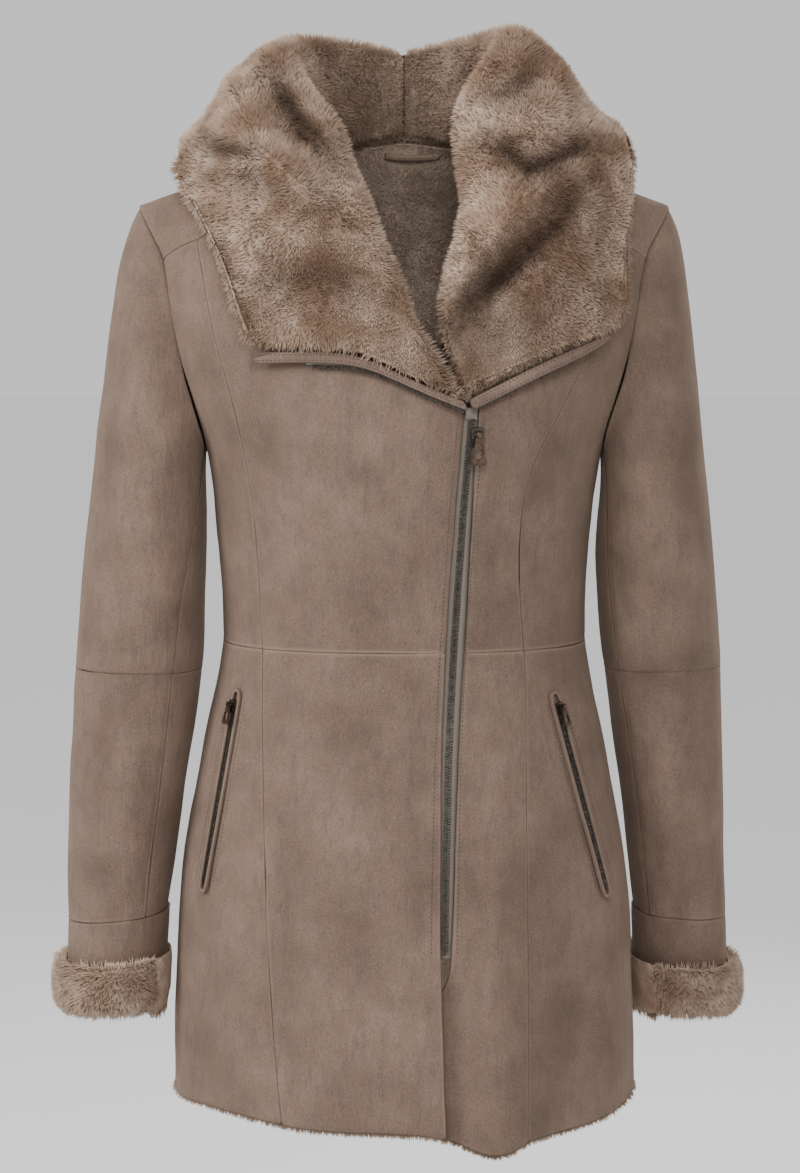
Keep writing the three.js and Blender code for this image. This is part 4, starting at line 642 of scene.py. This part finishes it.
# The ground of a fleece piece: the solid's form, sunk where the pile grows back out to it. A trough of
# the collar stays within the wall, and the two halves keep meeting at the centre back.
def fleeceGround(name, spec):
    piece = smoothCopy(name, spec["levels"], 70, 0.02)
    mesh = piece.data
    points, normals = pointsOf(mesh), pointsOf(mesh, True)
    own = treeOf([piece])
    starts = points - normals * seating["start"] * mm
    hits = [own.ray_cast(Vector(p), Vector(-n))[3] for p, n in zip(starts, normals)]
    walls = np.array([hit or seating["noWall"] * mm for hit in hits])
    full = np.minimum(spec["long"] * seating["sunk"] * mm, seating["wallShare"] * walls)
    grown = awayFromCoat(points, normals)
    under = awayFromCoat(points - normals * walls[:, None], -normals)
    sink = full * np.where(grown, 1, seating["tucked"])
    moved = points - normals * sink[:, None]
    dark = np.zeros(len(points))
    if name.startswith("collar"):
        deep, dark = foldsAt(points)
        front = np.clip(-normals[:, 1] * 1.6, 0, 1)
        room = walls - sink - full * np.where(under, 1, seating["tucked"]) - seating["spare"] * mm
        moved[:, 1] += np.minimum(deep * mm, np.maximum(room, 0)) * front
        back = (points[:, 1] / mm - seating["shadeFrom"]) / seating["shadeOver"]
        dark = np.maximum(dark, np.clip(back, 0, 1) * collarShade) * front
        middle = np.clip(1 - np.abs(points[:, 0]) / (seating["middle"] * mm), 0, 1)
        moved[:, 0] = moved[:, 0] * (1 - middle) + points[:, 0] * seating["closing"] * middle
    movePoints(mesh, moved)
    # The fold share here is painted shade: dark in the collar's folds and inside its back
    storeShare(mesh, "fold", dark)
    return piece


def addPiece(name, mesh, material):
    mesh.materials.append(material)
    piece = bpy.data.objects.new(name, mesh)
    scene.collection.objects.link(piece)
    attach(piece, "coat")
    return piece


# A tuft is a thin three-sided spike. Its foot and root are in mm and shares of its width, its light is
# bent from the skin's normal by splay and tilt, and pressed is how much shorter it is in a fold.
tuft = {"root": 0.8, "foot": 0.55, "splay": 0.16, "tilt": 0.3, "pressed": 0.35, "stray": 0.13, "most": 0.7}


# Upright tapered tufts over the faces that keep() takes, leaning in soft drifts
def growPile(name, grounds, spec, keep, material):
    rng = np.random.default_rng(spec["seed"])
    corners, areas, cornerNormals, cornerFolds = [], [], [], []
    for ground in grounds:
        mesh = ground.data
        mesh.calc_loop_triangles()
        tri = np.zeros(len(mesh.loop_triangles) * 3, np.int32)
        mesh.loop_triangles.foreach_get("vertices", tri)
        tri = tri.reshape(-1, 3)
        points, normals = pointsOf(mesh), pointsOf(mesh, True)
        first = points[tri[:, 0]]
        faceNormals = np.cross(points[tri[:, 1]] - first, points[tri[:, 2]] - first)
        area = np.linalg.norm(faceNormals, axis=1) / 2
        faceNormals /= np.linalg.norm(faceNormals, axis=1, keepdims=True) + 1e-12
        kept = keep(points[tri].mean(1), faceNormals)
        corners.append(points[tri[kept]])
        cornerNormals.append(normals[tri[kept]])
        # Each tuft takes the painted shade of the ground beneath it
        folds = np.zeros(len(points), np.float32)
        mesh.attributes["fold"].data.foreach_get("value", folds)
        cornerFolds.append(folds[tri[kept]])
        areas.append(area[kept])
    lists = (corners, cornerNormals, cornerFolds, areas)
    corners, cornerNormals, cornerFolds, areas = map(np.concatenate, lists)
    count = min(spec["count"], int(areas.sum() * 1e6 * tuft["most"]))  # at most so many on a square mm
    pick = rng.choice(len(areas), count, p=areas / areas.sum())
    share = rng.random((count, 2))
    flip = share.sum(1) > 1
    share[flip] = 1 - share[flip]
    weights = np.stack([1 - share.sum(1), share[:, 0], share[:, 1]], 1)
    roots = (corners[pick] * weights[:, :, None]).sum(1)
    normals = (cornerNormals[pick] * weights[:, :, None]).sum(1)
    folds = (cornerFolds[pick] * weights).sum(1)
    normals /= np.linalg.norm(normals, axis=1, keepdims=True) + 1e-12
    drift = np.array([noise.noise_vector(Vector(p) / (spec["drift"] * mm)) for p in roots])
    lock = np.array([noise.noise_vector(Vector(p) / (spec["lock"] * mm)) for p in roots])
    lean = drift * spec["lean"] + lock * spec["locked"] + rng.normal(0, tuft["stray"], (count, 3))
    lean += np.array(spec.get("comb", (0, 0, -0.2)))
    lean -= normals * (lean * normals).sum(1)[:, None]
    ways = normals + lean
    ways /= np.linalg.norm(ways, axis=1, keepdims=True)
    longs = spec["long"] * mm * (0.86 + 0.2 * rng.random(count) + 0.14 * lock[:, 0])
    longs *= 1 - tuft["pressed"] * folds
    side = np.cross(ways, rng.normal(0, 1, (count, 3)))
    side /= np.linalg.norm(side, axis=1, keepdims=True) + 1e-12
    other = np.cross(ways, side)
    wide = spec["wide"] * mm * (0.8 + 0.5 * rng.random(count))
    verts = np.zeros((count, 4, 3))
    lit = np.zeros((count, 4, 3))
    for k in range(3):
        turn = 2 * math.pi * k / 3
        out = side * math.cos(turn) + other * math.sin(turn)
        verts[:, k] = roots - normals * tuft["root"] * mm + out * wide[:, None] * tuft["foot"]
        lit[:, k] = normals + out * tuft["splay"]
    verts[:, 3] = roots + ways * longs[:, None]
    lit[:, 3] = normals + ways * tuft["tilt"]
    lit /= np.linalg.norm(lit, axis=2, keepdims=True)
    first = np.arange(count)[:, None, None] * 4
    faces = (np.array([[0, 1, 3], [1, 2, 3], [2, 0, 3]])[None] + first).reshape(-1, 3)
    mesh = bpy.data.meshes.new(name)
    mesh.vertices.add(count * 4)
    mesh.vertices.foreach_set("co", verts.astype(np.float32).ravel())
    mesh.loops.add(count * 9)
    mesh.loops.foreach_set("vertex_index", faces.astype(np.int32).ravel())
    mesh.polygons.add(count * 3)
    mesh.polygons.foreach_set("loop_start", np.arange(0, count * 9, 3, dtype=np.int32))
    mesh.update(calc_edges=True)
    mesh.validate()
    storeShare(mesh, "pile", np.tile([0.0, 0.0, 0.0, 1.0], count))
    storeShare(mesh, "fold", np.repeat(folds, 4))
    mesh.shade_smooth()
    mesh.normals_split_custom_set_from_vertices(lit.reshape(-1, 3))
    return addPiece(name, mesh, material)


panelTree = treeOf([shells[n] for n in bodyPanels])
onCoat = {"start": 2, "reach": 45}  # mm


# The collar's underside lies over the coat, so a ray from it soon meets a panel
def awayFromCoat(centres, normals):
    starts = centres + normals * onCoat["start"] * mm
    reach = onCoat["reach"] * mm
    hits = [panelTree.ray_cast(Vector(p), Vector(n), reach)[0] for p, n in zip(starts, normals)]
    return np.array([hit is None for hit in hits])


collarPile = {"levels": 2, "long": 7.5, "wide": 1.3, "count": 62000, "seed": 11, "drift": 34, "lock": 9,
              "lean": 0.55, "locked": 0.28, "comb": (0, 0, -0.3)}
cuffPile = {"levels": 2, "long": 7.5, "wide": 1.3, "count": 17000, "seed": 21, "drift": 28, "lock": 9,
            "lean": 0.5, "locked": 0.26, "comb": (0, 0, -0.35)}
for side in ("right", "left"):
    for part, spec in (("collar", collarPile), ("cuff", cuffPile)):
        name = f"{part}_{side}"
        ground = fleeceGround(name, spec)
        storeShare(ground.data, "seam", np.zeros(len(ground.data.vertices)))
        ground.data.materials.append(fleece)
        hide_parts(name)
        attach(ground, "coat")
        shells[name] = ground
        ownSpec = {**spec, "seed": spec["seed"] + len(side)}
        pile = growPile(f"{name}_pile", [ground], ownSpec, awayFromCoat, fleecePile)
        print(name, "pile:", len(pile.data.polygons))

# The dark fleece inside the back, seen through the neck, and the fringe that peeks out at the hem
backPile = {"long": 6, "wide": 1.4, "count": 24000, "seed": 31, "drift": 24, "lock": 8,
            "lean": 0.6, "locked": 0.4}
hemPile = {"long": 4.5, "wide": 1.3, "count": 7000, "seed": 41, "drift": 20, "lock": 6,
           "lean": 0.5, "locked": 0.4}
backPatch = {"low": -240, "halfWide": 110, "facing": -0.75}  # mm, and how squarely it faces inwards


def insideBack(centres, normals):
    out = centres - middleFor("yoke", centres)
    facing = (out * normals).sum(1) / np.linalg.norm(out, axis=1)
    inWidth = np.abs(centres[:, 0]) < backPatch["halfWide"] * mm
    inHeight = centres[:, 2] > backPatch["low"] * mm
    return (facing < backPatch["facing"]) & inHeight & inWidth & (centres[:, 1] > 0)


def hemEdge(centres, normals):
    return (normals[:, 2] < -0.75) & (centres[:, 2] < -0.72)


backs = [shells[n] for n in ("yoke_back", "bodice_back_right", "bodice_back_left")]
skirts = [shells[n] for n in bodyPanels if n.startswith("skirt")]
growPile("back_lining_pile", backs, backPile, insideBack, liningPile)
growPile("hem_fringe", skirts, hemPile, hemEdge, fleecePile)
print("lining and hem grown")

# Zips. Each chain is found on its solid by rays from the front, and carries two rows of teeth.
chains = {
    "zip_chain": {"along": 2, "from": -636, "to": -209, "across": (20, 70)},
    "zip_chain_open_right": {"along": 0, "from": -76, "to": 47, "across": (-216, -165)},
    "zip_chain_open_left": {"along": 0, "from": 56, "to": 136, "across": (-213, -160)},
    "pocket_zip_chain_right": {"along": 2, "from": -591, "to": -441, "across": (-165, -130)},
    "pocket_zip_chain_left": {"along": 2, "from": -596, "to": -441, "across": (117, 166)},
}
tooth = {"wide": 3.3, "high": 1.15, "deep": 1.3, "bevel": 0.25, "up": 0.1, "pitch": 2.1, "shift": 1.25}  # mm


# Points down the middle of a chain, each with the way it faces
def chainPath(name, spec, step=3.0):
    tree = treeOf([nodes[name]])
    path = []
    other = 0 if spec["along"] == 2 else 2
    for value in np.arange(spec["from"], spec["to"] + 0.1, step):
        hits = []
        for across in np.arange(spec["across"][0], spec["across"][1], 0.4):
            start = Vector((0, -0.5, 0))
            start[spec["along"]] = value * mm
            start[other] = across * mm
            found = tree.ray_cast(start, Vector((0, 1, 0)), 1.0)
            if found[0]:
                hits.append((found[0], found[1]))
        if hits:
            middle = hits[len(hits) // 2]
            path.append((middle[0].copy(), middle[1].normalized()))
    return path


# Even places along a path: the point, the way it faces and the way it runs
def alongPath(path, pitch):
    places, walked, due = [], 0.0, pitch / 2
    for (a, na), (b, nb) in zip(path, path[1:]):
        gap = (b - a).length
        while due <= walked + gap:
            f = (due - walked) / gap
            places.append((a.lerp(b, f), na.lerp(nb, f).normalized(), (b - a).normalized()))
            due += pitch
        walked += gap
    return places


# Each point and its way eased towards its two neighbours'
def eased(path, times=2):
    for _ in range(times):
        threes = list(zip(path[:1] + path[:-1], path, path[1:] + path[-1:]))
        path = [((a[0] + b[0] * 2 + c[0]) / 4, (a[1] + b[1] * 2 + c[1]).normalized()) for a, b, c in threes]
    return path


# One mesh of many copies of a small shape
def joinedCopies(name, bm, places, material):
    verts = np.array([v.co[:] for v in bm.verts])
    faces = [[v.index for v in f.verts] for f in bm.faces]
    allVerts, allFaces = [], []
    for i, matrix in enumerate(places):
        m = np.array(matrix)
        allVerts.append(verts @ m[:3, :3].T + m[:3, 3])
        allFaces += [[k + i * len(verts) for k in f] for f in faces]
    mesh = bpy.data.meshes.new(name)
    mesh.from_pydata(np.concatenate(allVerts).tolist(), [], allFaces)
    mesh.shade_smooth()
    mesh.set_sharp_from_angle(angle=math.radians(40))
    return addPiece(name, mesh, material)


def axesAt(point, up, along):
    across = along.cross(up).normalized()
    rows = Matrix((across, along, up)).transposed()
    return Matrix.Translation(point) @ rows.to_4x4()


def toothShape():
    bm = bmesh.new()
    bmesh.ops.create_cube(bm, size=1)
    bmesh.ops.scale(bm, verts=bm.verts, vec=(tooth["wide"] * mm, tooth["high"] * mm, tooth["deep"] * mm))
    bmesh.ops.bevel(bm, geom=bm.edges, offset=tooth["bevel"] * mm, affect="EDGES", segments=1, profile=0.5,
                    material=-1)
    bm.verts.index_update()
    return bm


paths = {}
for name, spec in chains.items():
    path = eased(chainPath(name, spec))
    paths[name] = path
    places = []
    for i, (point, up, along) in enumerate(alongPath(path, tooth["pitch"] / 2 * mm)):
        push = tooth["shift"] * mm * (1 if i % 2 else -1)
        if "open" in name:  # an open chain shows one row
            if i % 2:
                continue
            push = 0.0
        places.append(axesAt(point, up, along) @ Matrix.Translation((push, 0, tooth["up"] * mm)))
    shape = toothShape()
    teeth = joinedCopies(f"{name}_teeth", shape, places, gunmetal)
    shape.free()
    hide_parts(name)
    print(name, len(places), "teeth")

# The closed end of the tape, tucked under the lapels at the head of the zip
zipHead = {"wide": 9.5, "long": 9, "thick": 0.8, "up": 3.2, "under": 1.6}  # mm
point, outward = paths["zip_chain"][-1]
upward = (point - paths["zip_chain"][-4][0]).normalized()
bm = bmesh.new()
bmesh.ops.create_grid(bm, x_segments=6, y_segments=6, size=0.5)
bmesh.ops.scale(bm, verts=bm.verts, vec=(zipHead["wide"] * mm, zipHead["long"] * mm, 1))
bmesh.ops.solidify(bm, geom=bm.faces, thickness=zipHead["thick"] * mm)
place = axesAt(point + upward * zipHead["up"] * mm - outward * zipHead["under"] * mm, outward, upward)
bmesh.ops.transform(bm, matrix=place, verts=bm.verts)
mesh = bpy.data.meshes.new("zip_head_tape")
bm.to_mesh(mesh)
bm.free()
addPiece("zip_head_tape", mesh, tape)

# Stitching: lock stitches sunk a little in the nap, in rows beside each zip and along the bands
stitch = {"long": 2.3, "wide": 0.8, "pitch": 3.3}  # mm
besideZip = {"right": -10.8, "left": 9.6}  # mm from the zip's middle
besidePocket = {"outer": -7.6, "inner": 7.6}  # mm from the pocket zip's middle


def stitchShape():
    bm = bmesh.new()
    bmesh.ops.create_icosphere(bm, subdivisions=1, radius=1)
    thick, long = stitch["wide"] / 2 * mm, stitch["long"] / 2 * mm
    bmesh.ops.scale(bm, verts=bm.verts, vec=(thick, long, thick))
    bm.verts.index_update()
    return bm


# A row of stitches laid from the front on the cloth behind the points
def stitchRow(name, points, tree):
    path = []
    way = Vector((0, 1, 0))
    for point in points:
        found = tree.ray_cast(Vector(point) - way * 0.3, way, 1.0)
        if found[0]:
            path.append((found[0], found[1]))
    places = [axesAt(p, n, t) for p, n, t in alongPath(eased(path, 1), stitch["pitch"] * mm)]
    shape = stitchShape()
    joinedCopies(name, shape, places, thread)
    shape.free()


frontTree = treeOf([shells[n] for n in bodyPanels if "back" not in n and not n.startswith("sleeve")])
for side, shift in besideZip.items():
    points = [p + Vector((shift * mm, 0, 0)) for p, _ in paths["zip_chain"]]
    stitchRow(f"zip_stitches_{side}", points, frontTree)

# A narrow band's two edges are found by rays from the front, and a row of stitches runs in from each
bands = {
    "lapel_band_right": {"along": 0, "from": -132, "to": 38, "across": (-235, -150), "in": 2.0},
    "lapel_band_left": {"along": 0, "from": 56, "to": 172, "across": (-225, -130), "in": 2.0},
}


def bandEdges(name, spec, step=4.0):
    tree = treeOf([shells[name]])
    edges = [[], []]
    for value in np.arange(spec["from"], spec["to"], step):
        hits = []
        for across in np.arange(spec["across"][0], spec["across"][1], 0.5):
            found = tree.ray_cast(Vector((value * mm, -0.5, across * mm)), Vector((0, 1, 0)), 1.0)
            if found[0]:
                hits.append(found[0])
        if len(hits) > 8:
            share = min(0.4, spec["in"] * mm / (hits[-1] - hits[0]).length)
            edges[0].append(hits[0].lerp(hits[-1], share))
            edges[1].append(hits[-1].lerp(hits[0], share))
    return edges, tree


for name, spec in bands.items():
    edges, tree = bandEdges(name, spec)
    for label, points in zip(("lower", "upper"), edges):
        if len(points) > 4:
            stitchRow(f"{name}_stitches_{label}", points, tree)
for side in ("right", "left"):
    for label, shift in besidePocket.items():
        points = [p + Vector((shift * mm, 0, 0)) for p, _ in paths[f"pocket_zip_chain_{side}"]]
        stitchRow(f"pocket_stitches_{side}_{label}", points, frontTree)
print("stitches sewn")

# Hard parts keep their own shape, with a plated finish
for zipName in ("zip", "pocket_right", "pocket_left"):
    for part, metal in (("slider", gunmetal), ("pull", pullMetal)):
        materials = nodes[f"{zipName}_{part}"].data.materials
        materials.clear()
        materials.append(metal)

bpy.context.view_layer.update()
shown = [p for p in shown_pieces() if p.type == "MESH"]
print("pieces:", len(shown), "triangles:", sum(len(f.vertices) - 2 for p in shown for f in p.data.polygons))
